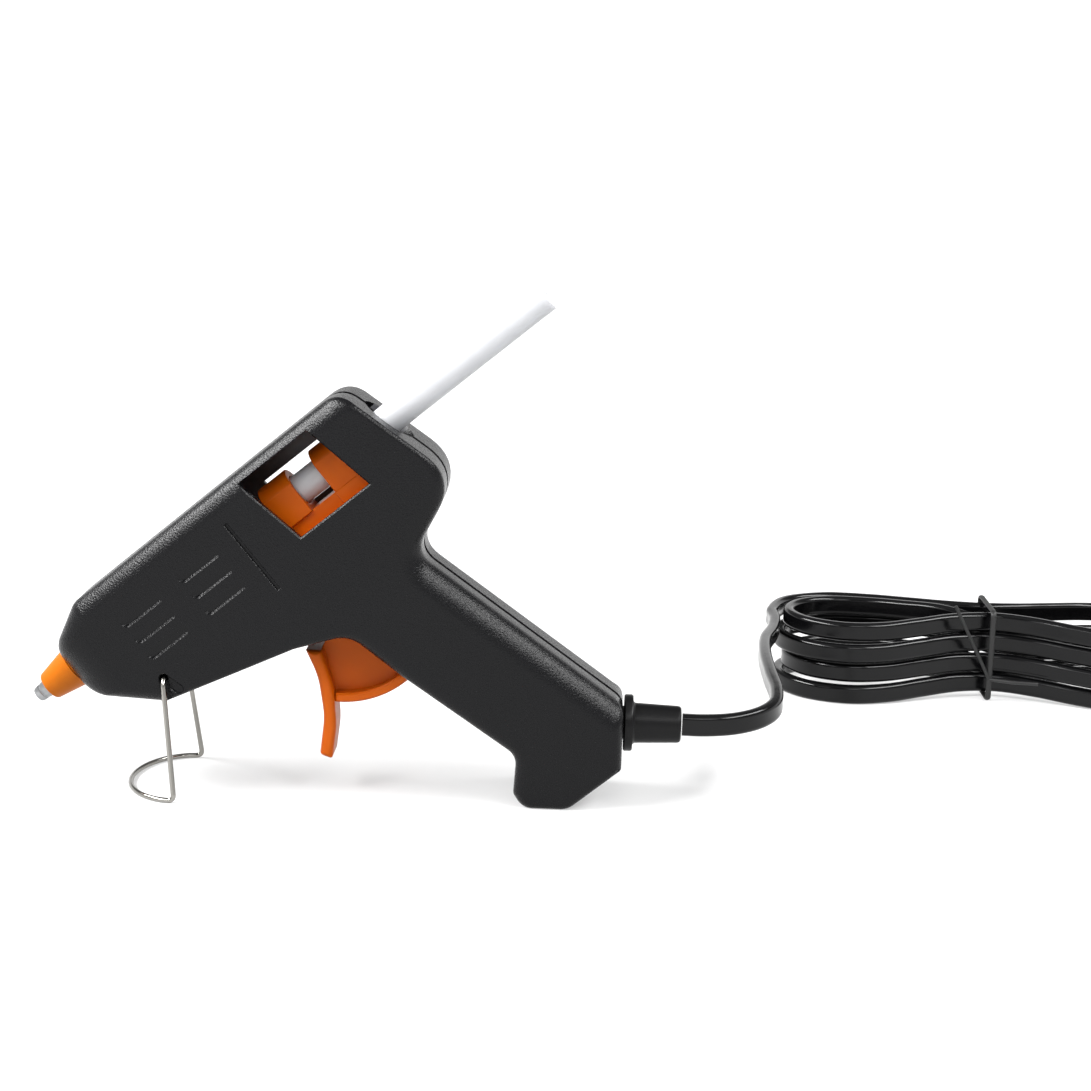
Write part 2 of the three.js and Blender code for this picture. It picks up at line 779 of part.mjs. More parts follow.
function meltChamber() {
  const spigotRear = chamberRear + spigotLength;
  const profile = [
    [-tipReach, tipBore],
    [-tipReach, tipRadius - tipRounding],
    [-tipReach + tipRounding / 3, tipRadius - tipRounding / 3],
    [-tipReach + tipRounding, tipRadius],
    [coverFront * 2, (tipRadius + nozzleRadius) / 2],
    [noseFace + wallThickness, nozzleRadius],
    [chamberFront, chamberRadius],
    [chamberRear, chamberRadius],
    [chamberRear, spigotRadius],
    [spigotRear, spigotRadius],
    [spigotRear, stickBore],
    [chamberFront + overrun, stickBore],
    [coverFront, tipBore],
  ];
  const heaterSeat = block(
    frontRibPlace[0] + ribThickness + fitGap,
    rearRibPlace[0] - fitGap,
    -heaterHalfWidth - slideGap,
    heaterHalfWidth + slideGap,
    -chamberBlockDepth,
    -stickBore - sleeveWall / 2,
  );
  return geometryOf(solid(turnedAlong(profile, 32)).add(heaterSeat));
}

function heaterLayer(top, thickness) {
  const rear = heaterFront + heaterLength;
  return block(heaterFront, rear, -heaterHalfWidth, heaterHalfWidth, top - thickness, top);
}

const heaterPlate = () => heaterLayer(heaterTop, heaterThickness);
const heaterInsulation = () => heaterLayer(insulationTop, insulationThickness);

// Spring-steel clip: a U round the heater that grips the chamber past its middle
function heaterClip() {
  const inner = chamberSeat;
  const outer = inner + clipThickness;
  const floor = insulationTop - insulationThickness - fitGap;
  const gripDegrees = 30;
  const gripInner = arcPoints([0, 0], inner, gripDegrees, gripDegrees, 1)[0];
  const gripOuter = arcPoints([0, 0], outer, gripDegrees, gripDegrees, 1)[0];
  const half = [
    [outer, floor - clipThickness],
    [outer, 0],
    gripOuter,
    gripInner,
    [inner, 0],
    [inner, floor],
  ];
  const otherHalf = half.map(([y, z]) => [-y, z]).reverse();
  const front = heaterFront + (heaterLength - clipLength) / 2;
  return prismAlong([...half, ...otherHalf], front, front + clipLength);
}

function stickSleeve() {
  const front = chamberRear + fitGap;
  const step = chamberRear + spigotLength + fitGap;
  const rear = front + sleeveLength;
  const wide = spigotRadius + fitGap;
  const profile = [
    [front, wide],
    [front, wide + sleeveWall],
    [step, wide + sleeveWall],
    [step + sleeveWall, sleeveOuter],
    [rear, sleeveOuter],
    [rear, stickBore],
    [step, stickBore],
    [step, wide],
  ];
  return closed(turnedAlong(profile, 24));
}

function sleeveRing() {
  const middle = chamberRear + spigotLength / 2;
  const radius = spigotRadius + fitGap + sleeveWall + fitGap + sleeveRingRadius;
  const profile = polygon(sleeveRingRadius, 6).map(([x, y]) => [middle + x, radius + y]);
  return closed(turnedAlong(profile, 24));
}

const glueStick = () => closed(turnedAlong([
  [stickSeat, 0],
  [stickSeat, stickDiameter / 2],
  [stickSeat + stickLength, stickDiameter / 2],
  [stickSeat + stickLength, 0],
], 24));

// Feeder carriage and what it carries

function feederRing(front, length) {
  const shoulderDegrees = THREE.MathUtils.radToDeg(Math.acos(ringFlat / ringRadius));
  const arch = arcPoints([0, 0], ringRadius, shoulderDegrees, 180 - shoulderDegrees, 10);
  const outline = [[ringFlat, -ringSkirt], ...arch, [-ringFlat, -ringSkirt]];
  return prismAlong(outline, front, front + length);
}

const toothFront = feederRear - toothHeight - toothThickness;

function feederCarriage() {
  const rearFront = feederRear - rearRingLength;
  const runnerTop = barBottom + fitGap;
  const barTop = -ringSkirt + fitGap;
  const skirt = block(rearFront, feederRear, -ringFlat, ringFlat, barBottom, barTop);
  const bar = block(feederFront, feederRear, -feederBarHalfWidth, feederBarHalfWidth, barBottom, barTop);
  const runner = block(feederFront, feederRear, -runnerHalfWidth, runnerHalfWidth, runnerBottom, runnerTop);
  const lugBottom = drivePinPlace[1] - drivePinRadius - lugHalfLength / 4;
  const lugFront = drivePinPlace[0] - lugHalfLength;
  const lugRear = drivePinPlace[0] + lugHalfLength;
  const lug = block(lugFront, lugRear, -lugHalfWidth, lugHalfWidth, lugBottom, runnerTop);
  const rings = [feederRing(feederFront, frontRingLength), feederRing(rearFront, rearRingLength)];
  const bore = rodAlong(stickBore, feederFront - overrun, feederRear + overrun, 24);
  const pinHole = pinAcross(drivePinPlace, drivePinRadius + fitGap, -ringRadius, ringRadius, 14);
  const toothSlot = block(
    toothFront - fitGap,
    toothFront + toothThickness + fitGap,
    -toothHalfWidth - fitGap,
    toothHalfWidth + fitGap,
    0,
    ringRadius + overrun,
  );
  return joined([...rings, skirt, bar, runner, lug]).subtract(joined([bore, pinHole, toothSlot]));
}

// Steel tooth with a sharp lower edge that leans towards the front
function stickGripper() {
  const low = stickBore;
  const high = low + toothHeight;
  const outline = [
    [toothFront, low],
    [toothFront + toothThickness, low + toothThickness],
    [toothFront + toothThickness, high],
    [toothFront, high],
  ];
  return prismAcross(outline, -toothHalfWidth, toothHalfWidth);
}

const drivePin = () => pinAcross(drivePinPlace, drivePinRadius, -drivePinHalfLength, drivePinHalfLength, 14);

// Trigger. The corners of its finger bar are places from the pivot and how round they are, all
// as shares of the rim's radius.
const fingerBarShares = [
  [-0.58, -0.105, 0.03],
  [-0.655, -0.4, 0.9],
  [-0.87, -0.765, 0.9],
  [-1.165, -1.055, 0.05],
  [-1.095, -1.17, 0.04],
  [-0.84, -0.93, 0.9],
  [-0.61, -0.6, 0.9],
  [-0.455, -0.215, 0.03],
];
const webPlaceShares = [[0.55, 204], [0.76, 217], [0.95, 225]]; // radius share, then degrees

function fingerBar() {
  const corners = fingerBarShares.map(([x, z, roundShare]) => ({
    place: new THREE.Vector2(pivotPlace[0] + x * rimRadius, pivotPlace[1] + z * rimRadius),
    round: roundShare * rimRadius,
    edge: barEdgeRounding,
  }));
  const quarterSteps = 2;
  const rings = [];
  for (let side = -1; side <= 1; side += 2) {
    for (let k = 0; k <= quarterSteps; k += 1) {
      const angle = (Math.PI / 2) * (side < 0 ? k / quarterSteps : 1 - k / quarterSteps);
      const insetOf = (edge) => edge * (1 - Math.sin(angle));
      const depthOf = (edge) => side * (barHalfWidth - edge * (1 - Math.cos(angle)));
      rings.push(outlineRing(corners, insetOf, depthOf, outerSteps));
    }
  }
  return solid(loft(rings));
}

function triggerArms() {
  const restDegrees = 90 - pullDegrees / 2;
  const slotHalf = drivePinRadius + fitGap;
  const slotFoot = driveArm - slotHalf;
  const armTop = driveArm / Math.cos(pullAngle / 2) + drivePinRadius + fitGap;
  const half = slotHalf + forkWall;
  const outline = [
    [0, -hubRadius + fitGap],
    [slotFoot - slotHalf, -half],
    [armTop, -half],
    [armTop, -slotHalf],
    [slotFoot, -slotHalf],
    [slotFoot, slotHalf],
    [armTop, slotHalf],
    [armTop, half],
    [slotFoot - slotHalf, half],
    [0, hubRadius - fitGap],
  ].map(([out, side]) => {
    const angle = radians(restDegrees);
    return [
      pivotPlace[0] + out * Math.cos(angle) - side * Math.sin(angle),
      pivotPlace[1] + out * Math.sin(angle) + side * Math.cos(angle),
    ];
  });
  const inner = lugHalfWidth + fitGap;
  const farArm = prismAcross(outline, inner, drivePinHalfLength);
  return [farArm, mirroredAcross(farArm)];
}

function trigger() {
  const innerRim = rimRadius - rimThickness;
  const webRim = rimRadius - rimThickness / 2;
  const webOutline = [
    pivotPlace,
    ...webPlaceShares.map(([radiusShare, degrees]) => fromPivot(radiusShare * rimRadius, degrees)),
    ...arcPoints(pivotPlace, webRim, rimFrontDegrees, webRearDegrees, 12),
  ];
  const rimOutline = [
    ...arcPoints(pivotPlace, rimRadius, rimFrontDegrees, webRearDegrees, 12),
    ...arcPoints(pivotPlace, innerRim, webRearDegrees, rimFrontDegrees, 12),
  ];
  const web = prismAcross(webOutline, -webThickness / 2, webThickness / 2);
  const rim = prismAcross(rimOutline, -rimHalfWidth, rimHalfWidth);
  const hub = pinAcross(pivotPlace, hubRadius, -hubHalfWidth, hubHalfWidth, 24);
  const bore = pinAcross(pivotPlace, pivotPinRadius + fitGap, -halfWidth, halfWidth, 16);
  return joined([hub, web, rim, fingerBar(), ...triggerArms()]).subtract(bore);
}

function triggerPin() {
  const end = innerFace - fitGap;
  return pinAcross(pivotPlace, pivotPinRadius, -end, end, 16);
}

// Torsion spring round the pivot pin: one leg turns in behind the trigger's web, the other
// lies under the far half's post
function returnSpring() {
  const legTurn = THREE.MathUtils.radToDeg(Math.acos(springCoilRadius / springLeg));
  const startDegrees = triggerLegDegrees - legTurn;
  const wound = springTurns * 360;
  const steps = Math.round(springTurns * 8);
  const at = (radius, degrees, across) => {
    const [x, z] = fromPivot(radius, degrees);
    return new THREE.Vector3(x, across, z);
  };
  const coil = Array.from({ length: steps + 1 }, (_, i) => at(
    springCoilRadius,
    startDegrees - (wound * i) / steps,
    springStart + springTurns * springPitch * (i / steps),
  ));
  const lastAcross = springStart + springTurns * springPitch;
  const behindWeb = at(springLeg, triggerLegDegrees, -webThickness / 2);
  const corner = at(springLeg, triggerLegDegrees, springStart);
  const farLeg = at(springLeg, housingLegDegrees, lastAcross);
  const corners = [behindWeb, corner, ...coil, farLeg];
  const straightened = corners.flatMap((point, i) => {
    const next = corners[i + 1];
    const isLeg = i < 2 || i === corners.length - 2;
    if (!isLeg || !next) return [point];
    return [point, point.clone().lerp(next, 1 / 8), point.clone().lerp(next, 7 / 8)];
  });
  return closed(tube(straightened, polygon(springWireRadius, 5), steps + 16));
}

// Wire stand, in the upright frame

function roundedRoute(corners, radius, steps) {
  const points = [corners[0]];
  for (let i = 1; i + 1 < corners.length; i += 1) {
    const back = corners[i - 1].clone().sub(corners[i]);
    const ahead = corners[i + 1].clone().sub(corners[i]);
    const cut = Math.min(radius, back.length() / 2, ahead.length() / 2);
    const start = corners[i].clone().addScaledVector(back.normalize(), cut);
    const end = corners[i].clone().addScaledVector(ahead.normalize(), cut);
    const bend = new THREE.QuadraticBezierCurve3(start, corners[i], end);
    points.push(...bend.getPoints(steps));
  }
  points.push(corners[corners.length - 1]);
  return points;
}

function wireStand() {
  const [pivotX, pivotZ] = upright(standPlace);
  const legTop = halfWidth + wireRadius + slideGap;
  const pinEnd = halfWidth - standPinDepth + fitGap;
  const footX = pivotX + legLean;
  const footZ = floorLevel + wireRadius;
  const footSteps = 12;
  const nearSide = [
    new THREE.Vector3(pivotX, -pinEnd, pivotZ),
    new THREE.Vector3(pivotX, -legTop, pivotZ),
    new THREE.Vector3(footX, -footHalfWidth, footZ),
  ];
  const foot = Array.from({ length: footSteps - 1 }, (_, i) => {
    const angle = (Math.PI * (i + 1)) / footSteps - Math.PI / 2;
    const across = footHalfWidth * Math.sin(angle);
    return new THREE.Vector3(footX - footReach * Math.cos(angle), across, footZ);
  });
  const farSide = nearSide.map((point) => new THREE.Vector3(point.x, -point.y, point.z)).reverse();
  const near = roundedRoute([...nearSide, foot[0]], wireBend, 3);
  const far = roundedRoute([foot[foot.length - 1], ...farSide], wireBend, 3);
  const points = [...near.slice(0, -1), ...foot, ...far.slice(1)];
  return closed(tube(points, polygon(wireRadius, 6), 72));
}

// Cord: section, gland, clamp, tail and leads

function cordSection(sides, extra) {
  const halfWide = cordWidth / 2 + extra;
  const halfThick = cordThickness / 2 + extra;
  if (sides < 8) {
    const shoulder = halfWide - halfThick / 2;
    return [
      [halfWide, 0],
      [shoulder, halfThick],
      [-shoulder, halfThick],
      [-halfWide, 0],
      [-shoulder, -halfThick],
      [shoulder, -halfThick],
    ];
  }
  const shoulder = halfWide - halfThick / 2;
  const flank = halfThick / 2;
  return [
    [halfWide, flank],
    [shoulder, halfThick],
    [-shoulder, halfThick],
    [-halfWide, flank],
    [-halfWide, -flank],
    [-shoulder, -halfThick],
    [shoulder, -halfThick],
    [halfWide, -flank],
  ];
}

// A straight length of cord along X in the upright frame, its wide side standing up
function straightCord(from, to, extra) {
  const section = cordSection(8, extra).map(([wide, thick]) => [thick, wide + glandLevel]);
  return prismAlong(section, from, to);
}

function cordGland() {
  const collarFront = cordFaceX - wallThickness - fitGap - glandCollarThickness;
  const collarRear = cordFaceX - wallThickness - fitGap;
  const flangeFront = cordFaceX + fitGap;
  const flangeRear = flangeFront + glandFlangeThickness;
  const profile = [
    [collarFront, 0],
    [collarFront, glandCollarRadius],
    [collarRear, glandCollarRadius],
    [collarRear, glandNeckRadius],
    [flangeFront, glandNeckRadius],
    [flangeFront, glandFlangeRadius],
    [flangeRear, glandFlangeRadius],
    [flangeRear, glandSleeveRadius],
    [glandMouthX, glandSleeveTip],
    [glandMouthX, 0],
  ];
  const body = solid(turnedAtGland(profile, 28));
  return body.subtract(straightCord(collarFront - overrun, glandMouthX + overrun, fitGap));
}

const tailStart = glandMouthX - cordTailLength;
const cordTail = () => straightCord(tailStart, glandMouthX, 0);

function cordClamp() {
  const halfLength = clampBarLength / 2;
  const halfHeight = clampBarHeight / 2;
  const front = clampBarFace - clampBarThickness;
  const bar = block(
    clampX - halfHeight,
    clampX + halfHeight,
    front,
    clampBarFace,
    glandLevel - halfLength,
    glandLevel + halfLength,
  );
  const hole = (level) => pinAcross([clampX, level], clampScrewRadius + fitGap, -halfWidth, halfWidth, 12);
  return bar.subtract(joined(clampLevels.map(hole)));
}

function clampScrew(level) {
  const seat = clampBarFace - clampBarThickness - fitGap;
  const top = seat - clampScrewHeadHeight;
  const profile = [
    [seat + clampScrewLength, 0],
    [seat + clampScrewLength, clampScrewRadius],
    [seat, clampScrewRadius],
    [seat, clampScrewHeadRadius],
    [top, clampScrewHeadRadius],
    [top, 0],
  ];
  return closed(turnedAcross(profile, 12, [clampX, level]));
}

// Leads from the cord's tail up the grip to the heater: places along and up as shares, and
// across as a share of the lane beside the inner wall
const leadRouteShares = [
  [0.785, -0.782, 0.35],
  [0.795, -0.735, 0.75],
  [0.83, -0.66, 1],
  [0.845, -0.56, 1],
  [0.825, -0.44, 1],
  [0.8, -0.34, 1],
  [0.775, -0.26, 1],
  [0.72, -0.195, 1],
  [0.64, -0.178, 1],
  [0.55, -0.165, 1],
  [0.485, -0.135, 0.85],
  [0.435, -0.108, 0.5],
];

function heaterLead(side) {
  const lane = innerFace - leadRadius - slideGap - ribThickness / 2;
  const startLevel = glandLevel + (side * leadSpacing) / 2;
  const start = new THREE.Vector3(tailStart - fitGap, 0, startLevel);
  const away = new THREE.Vector3(tailStart - fitGap - 2 * leadRadius, 0, startLevel);
  const turn = (point) => point.applyAxisAngle(new THREE.Vector3(0, 1, 0), barrelTilt);
  const route = leadRouteShares.map(([alongShare, riseShare, laneShare]) => {
    const [x, z] = placeOf([alongShare, riseShare]);
    return new THREE.Vector3(x, side * lane * laneShare, z);
  });
  const endX = heaterFront + heaterLength + fitGap;
  const endY = side * (heaterHalfWidth - leadRadius - fitGap);
  const endZ = heaterTop - heaterThickness / 2;
  const end = new THREE.Vector3(endX, endY, endZ);
  const beforeEnd = new THREE.Vector3(endX + leadRadius, endY, endZ);
  return closed(tube([turn(start), turn(away), ...route, beforeEnd, end], polygon(leadRadius, 6), 48));
}

// Free cord, in a frame whose origin is on the floor under the gland's mouth

// Route of the lead from the gland to the hank, chosen by hand: along, across, height
const leadRoute = [
  [0.3, 0, 18.2],
  [5.5, 0, 18.2],
  [12.5, 1.6, 18.4],
  [18.6, 5.6, 18.9],
  [22.6, 12, 19.5],
  [24, 22, 20.2],
  [23.6, 38, 20.8],
  [23.6, 56, 21],
  [25, 74, 20.6],
  [28, 89, 20],
];
const hankCentre = [90, 110];

const hankHeight = cordWidth + (hankLoops - 1) * layerPitch;
const hankRunShare = hankRun / (2 * hankRun + 2 * Math.PI * hankFold);

// How far out of the innermost loop the strand lies after so many turns: it spirals in on
// one layer and out on the next
function hankOffset(turns) {
  const layer = THREE.MathUtils.clamp(Math.floor(turns), 0, hankLoops - 1);
  const within = turns - layer;
  return strandPitch * (layer % 2 === 0 ? 1 - within : within);
}

// Height of the strand's middle: each climb takes the middle of a run, and at the waist
// the bundle lies on the tie
function hankLevel(turns, waistShare) {
  let level = hankHeight - cordWidth / 2;
  for (let climb = 1; climb < hankLoops; climb += 1) {
    const halfClimb = hankRunShare / 5;
    level -= layerPitch * THREE.MathUtils.smoothstep(turns, climb - halfClimb, climb + halfClimb);
  }
  return level + (tieThickness + 2 * fitGap) * waistShare;
}

// Place of the strand after so many turns, counted from the middle of the far run
function hankPoint(turns) {
  const offset = hankOffset(turns);
  const local = turns + hankRunShare / 2;
  const halfTurns = Math.floor(local * 2);
  const side = halfTurns % 2 === 0 ? 1 : -1;
  const within = local - halfTurns / 2;
  const radius = hankFold + offset;
  if (within < hankRunShare) {
    const x = hankRun * (within / hankRunShare - 1 / 2);
    const waistShare = (1 + Math.cos((2 * Math.PI * x) / hankRun)) / 2;
    const drawn = (hankFold - hankWaist) * waistShare;
    return new THREE.Vector3(side * x, side * (radius - drawn), hankLevel(turns, waistShare));
  }
  const angle = (Math.PI * (within - hankRunShare)) / (1 / 2 - hankRunShare);
  return new THREE.Vector3(
    side * (hankRun / 2 + radius * Math.sin(angle)),
    side * radius * Math.cos(angle),
    hankLevel(turns, 0),
  );
}

// The strand starts at the near end of the hank, a quarter turn before the far run, and leaves
// it at the other end of that run
function hankPoints(perLoop) {
  const first = -1 / 4;
  const last = hankLoops + hankRunShare / 2;
  const steps = Math.round((last - first) * perLoop);
  return Array.from({ length: steps + 1 }, (_, i) => hankPoint(first + ((last - first) * i) / steps));
}

function hankRoute(perLoop) {
  const coiled = hankPoints(perLoop);
  const start = coiled[0].clone();
  start.y -= cordWidth;
  const out = coiled[coiled.length - 1].clone();
  out.x += hankTailRun;
  out.z = plugHalfHeight;
  const risen = out.clone();
  risen.x -= cordWidth;
  return [start, ...coiled, risen, out];
}

// Least gap between parts of the hank that aren't next to each other along the cord
function hankLeastGap() {
  const points = hankPoints(96);
  const apart = 3 * cordWidth;
  const lengths = [0];
  points.slice(1).forEach((point, i) => lengths.push(lengths[i] + point.distanceTo(points[i])));
  let least = Infinity;
  points.forEach((a, i) => {
    for (let j = i + 1; j < points.length; j += 1) {
      if (lengths[j] - lengths[i] < apart) continue;
      const b = points[j];
      const beside = Math.max(Math.hypot(a.x - b.x, a.y - b.y) - cordThickness, 0);
      const above = Math.max(Math.abs(a.z - b.z) - cordWidth, 0);
      least = Math.min(least, Math.hypot(beside, above));
    }
  });
  return least;
}

const cordLead = () => {
  const start = hankRoute(24)[0];
  const end = new THREE.Vector3(hankCentre[0] + start.x, hankCentre[1] + start.y - fitGap, start.z);
  const beforeEnd = end.clone();
  beforeEnd.y -= cordWidth;
  const points = [...leadRoute.map((place) => new THREE.Vector3(...place)), beforeEnd, end];
  return closed(tube(points, cordSection(8, 0), 26));
};

function cordHank() {
  const points = hankRoute(24);
  const geometry = closed(tube(points, cordSection(6, 0), points.length + 2));
  console.log(`least gap of the hank to itself: ${hankLeastGap().toFixed(2)} mm`);
  return geometry;
}

// Wire tie round the waist of the hank, with its two ends standing out
function cordTie() {
  const atWaist = hankPoints(96).filter((point) => Math.abs(point.x) < 2 * tieWidth);
  const reach = Math.max(...atWaist.map((point) => Math.abs(point.y))) + cordThickness / 2 + looseGap;
  const low = tieThickness;
  const high = Math.max(...atWaist.map((point) => point.z)) + cordWidth / 2 + looseGap;
  const frame = (grow) => [
    [-reach - grow, low - grow],
    [reach + grow, low - grow],
    [reach + grow, high + grow],
    [-reach - grow, high + grow],
  ];
  const band = prismAlong(frame(tieThickness), -tieWidth / 2, tieWidth / 2)
    .subtract(prismAlong(frame(0), -tieWidth, tieWidth));
  const knot = new THREE.Vector3(0, -reach - tieThickness / 2, high / 4);
  const ends = [
    new THREE.Vector3(-hankRun / 7, -reach - 3 * tieThickness, high + tieWidth),
    new THREE.Vector3(hankRun / 6, -reach - 4 * tieThickness, high / 4),
  ];
  const tail = (end) => tube([knot, knot.clone().lerp(end, 1 / 2), end], polygon(tieTailRadius, 5), 4);
  return joined([band, ...ends.map((end) => solid(tail(end)))]);
}

// Plug: a flat two-pin body that tapers to the cord. Its outline is given as shares of its
// length and half width.
const plugOutlineShares = [[0, 0.26], [0.08, 0.4], [0.42, 0.46], [0.74, 0.9], [0.84, 1], [1, 1]];

function plugBody() {
  const half = plugOutlineShares.map(([x, y]) => [x * plugLength, y * plugHalfWidth]);
  const other = half.map(([x, y]) => [x, -y]).reverse();
  const rounding = plugEdgeRounding;
  const options = {
    depth: 2 * (plugHalfHeight - rounding),
    bevelEnabled: true,
    bevelThickness: rounding,
    bevelSize: rounding,
    bevelOffset: -rounding,
    bevelSegments: 2,
  };
  const geometry = new THREE.ExtrudeGeometry(shapeOf([...other, ...half]), options);
  geometry.translate(0, 0, rounding);
  return closed(geometry);
}

function plugPin() {
  const from = plugLength + fitGap;
  const to = from + plugPinLength;
  const half = plugPinRadius / 2;
  const profile = [[from, 0], [from, plugPinRadius], [to - half, plugPinRadius], [to, half], [to, 0]];
  return closed(turnedAlong(profile, 14));
}

// Assembly

function add(group, name, shade, shape, place = [0, 0, 0]) {
  const geometry = shape.isBufferGeometry ? shape : geometryOf(shape);
  const mesh = new THREE.Mesh(geometry, material(shade));
  mesh.name = name;
  mesh.position.set(...place);
  group.add(mesh);
}

const barrel = new THREE.Group();
barrel.rotation.y = -barrelTilt;
const shell = housingShell();
add(barrel, 'housing_near', 'black', housingNear(shell));
add(barrel, 'housing_far', 'black', housingFar(shell));
screwPlaces.forEach((place, i) => add(barrel, `housing_screw_${i + 1}`, 'steel', housingScrew(place)));
add(barrel, 'nozzle_cover', 'orange', nozzleCover());
add(barrel, 'melt_chamber', 'aluminium', meltChamber());
add(barrel, 'ptc_heater', 'ceramic', heaterPlate());
add(barrel, 'heater_insulation', 'mica', heaterInsulation());
add(barrel, 'heater_clip', 'spring', heaterClip());
add(barrel, 'stick_sleeve', 'silicone', stickSleeve());
add(barrel, 'sleeve_ring', 'spring', sleeveRing());
add(barrel, 'glue_stick', 'glue', glueStick());
add(barrel, 'feeder_carriage', 'orange', feederCarriage());
add(barrel, 'stick_gripper', 'spring', stickGripper());
add(barrel, 'drive_pin', 'steel', drivePin());
add(barrel, 'trigger', 'orange', trigger());
add(barrel, 'trigger_pin', 'steel', triggerPin());
add(barrel, 'return_spring', 'spring', returnSpring());
add(barrel, 'lead_live', 'leadRed', heaterLead(1));
add(barrel, 'lead_neutral', 'leadBlue', heaterLead(-1));

const standing = new THREE.Group();
add(standing, 'wire_stand', 'steel', wireStand());
add(standing, 'cord_gland', 'pvc', cordGland());
add(standing, 'cord_tail', 'pvc', cordTail());
add(standing, 'cord_clamp', 'black', cordClamp());
clampLevels.forEach((level, i) => add(standing, `clamp_screw_${i + 1}`, 'steel', clampScrew(level)));

const gun = new THREE.Group();
gun.add(barrel, standing);

const cord = new THREE.Group();
cord.position.set(glandMouthX, 0, floorLevel);
const hankPlace = [hankCentre[0], hankCentre[1], 0];
add(cord, 'cord_lead', 'pvc', cordLead());
add(cord, 'cord_hank', 'pvc', cordHank(), hankPlace);
add(cord, 'cord_tie', 'black', cordTie(), hankPlace);
const cordEnd = hankRoute(24).pop();
const plugPlace = [hankCentre[0] + cordEnd.x + fitGap, hankCentre[1] + cordEnd.y, 0];
add(cord, 'plug_body', 'pvc', plugBody(), plugPlace);
[-1, 1].forEach((side, i) => {
  const place = [plugPlace[0], plugPlace[1] + (side * plugPinSpacing) / 2, plugHalfHeight];
  add(cord, `plug_pin_${i + 1}`, 'brass', plugPin(), place);
});

// The whole is set down with the middle of the gun over the origin, on the floor
gun.updateMatrixWorld(true);
const bounds = new THREE.Box3().setFromObject(gun, true);
const whole = new THREE.Group();
whole.add(gun, cord);
whole.position.set(-(bounds.min.x + bounds.max.x) / 2, -(bounds.min.y + bounds.max.y) / 2, -bounds.min.z);
const model = new THREE.Group();
model.add(whole);
model.updateMatrixWorld(true);

export default model;
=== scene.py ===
import json
import math

import bmesh
import bpy
from mathutils import Matrix, Vector


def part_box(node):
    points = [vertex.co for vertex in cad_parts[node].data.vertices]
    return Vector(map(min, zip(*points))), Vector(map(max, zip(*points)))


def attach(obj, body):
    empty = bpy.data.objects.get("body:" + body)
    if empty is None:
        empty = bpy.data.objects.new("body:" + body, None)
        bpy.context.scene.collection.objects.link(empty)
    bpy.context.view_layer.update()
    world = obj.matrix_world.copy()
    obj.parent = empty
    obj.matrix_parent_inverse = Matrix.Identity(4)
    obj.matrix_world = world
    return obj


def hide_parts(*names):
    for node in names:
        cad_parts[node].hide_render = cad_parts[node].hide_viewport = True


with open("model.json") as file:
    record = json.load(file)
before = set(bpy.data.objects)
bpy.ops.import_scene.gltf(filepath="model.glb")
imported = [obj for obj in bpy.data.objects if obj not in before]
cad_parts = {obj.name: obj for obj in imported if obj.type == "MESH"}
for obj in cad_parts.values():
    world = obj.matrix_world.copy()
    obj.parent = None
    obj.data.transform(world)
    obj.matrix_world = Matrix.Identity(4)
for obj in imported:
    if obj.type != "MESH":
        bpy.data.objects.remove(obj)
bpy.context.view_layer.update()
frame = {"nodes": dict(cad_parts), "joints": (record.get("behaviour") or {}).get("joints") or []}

bl_info = {
    "name": "Mini hot glue applicator",
    "version": (1, 0, 0),
    "blender": (4, 5, 0),
    "location": "3D View > Sidebar > Glue Applicator",
    "description": "Builds a small trigger-fed glue applicator round its packed solids",
    "category": "Object",
}

# Everything is modelled in millimetres and set in place in metres.
MM = 0.001
SIDEBAR = "Glue Applicator"

# Clearances, as in the solids
FIT_GAP = 0.3
SLIDE_GAP = 0.4
OVERRUN = 3
SEAM_GAP = 0.3
# Cuts through the back face end here, along the barrel
PAST_BACK = 140

# Barrel and its frame: x along the barrel from the nozzle's tip, y across, z up from its axis
BARREL_TILT = math.radians(40)
PIVOT_SHARES = (0.634, -0.2837)
STAND_SHARES = (0.266, -0.1468)
NEAR_WINDOW_SHARES = (0.6585, 0.0115)
FAR_WINDOW_SHARES = (0.6505, 0.01)
VENT_SHARES = (0.274, 0.014)
STEP_SHARES = (0.568, 0.05)
SLEEVE_RIB_SHARE = 0.535
SLEEVE_RIB_HEIGHTS = (-0.125, 0.13)
CHAMBER_BLOCK_SHARES = (0.17, 0.43)
SCREW_SHARES = ((0.395, 0.093), (0.45, -0.185), (0.955, -0.15), (0.765, -0.6), (0.765, -0.918))

# Housing corners: place along and up, how round the corner is, how round its edge is
HOUSING_CORNER_SHARES = (
    (0.106, -0.06, 0.9, 0.28),
    (0.228, -0.192, 0.34, 0.12),
    (0.394, -0.246, 0.8, 0.12),
    (0.513, -0.284, 0.8, 0.12),
    (0.617, -0.336, 0.6, 0.24),
    (0.649, -0.4935, 0.8, 0.24),
    (0.7304, -0.8196, 0.36, 0.24),
    (0.675, -0.8887, 0.14, 0.24),
    (0.671, -0.926, 0.34, 0.12),
    (0.745, -0.9986, 0.4, 0.12),
    (0.8846, -1, 0.08, 0.2),
    (0.967, -0.885, 0.4, 0.5),
    (0.83, -0.282, 0.49, 0.32),
    (0.998, -0.2, 0.84, 0.09),
    (0.918, 0.132, 0.5, 0.4),
    (0.21, 0.1268, 0.42, 0.4),
    (0.106, 0.061, 0.55, 0.75),
)
NOSE_CORNER = 0
GLAND_CORNER = 10
BACK_CORNERS = (13, 14)
# How far each half's rim is drawn in at the parting line, and over what width
NEAR_SEAM = (0.35, 2.2)
FAR_SEAM = (0.08, 0.08)
EDGE_FLARE = 0.3
SLEEVE_RIB_THICKNESS = 1.6
PIVOT_BOSS_RADIUS = 3.6
SCREW_BOSS_RADIUS = 3
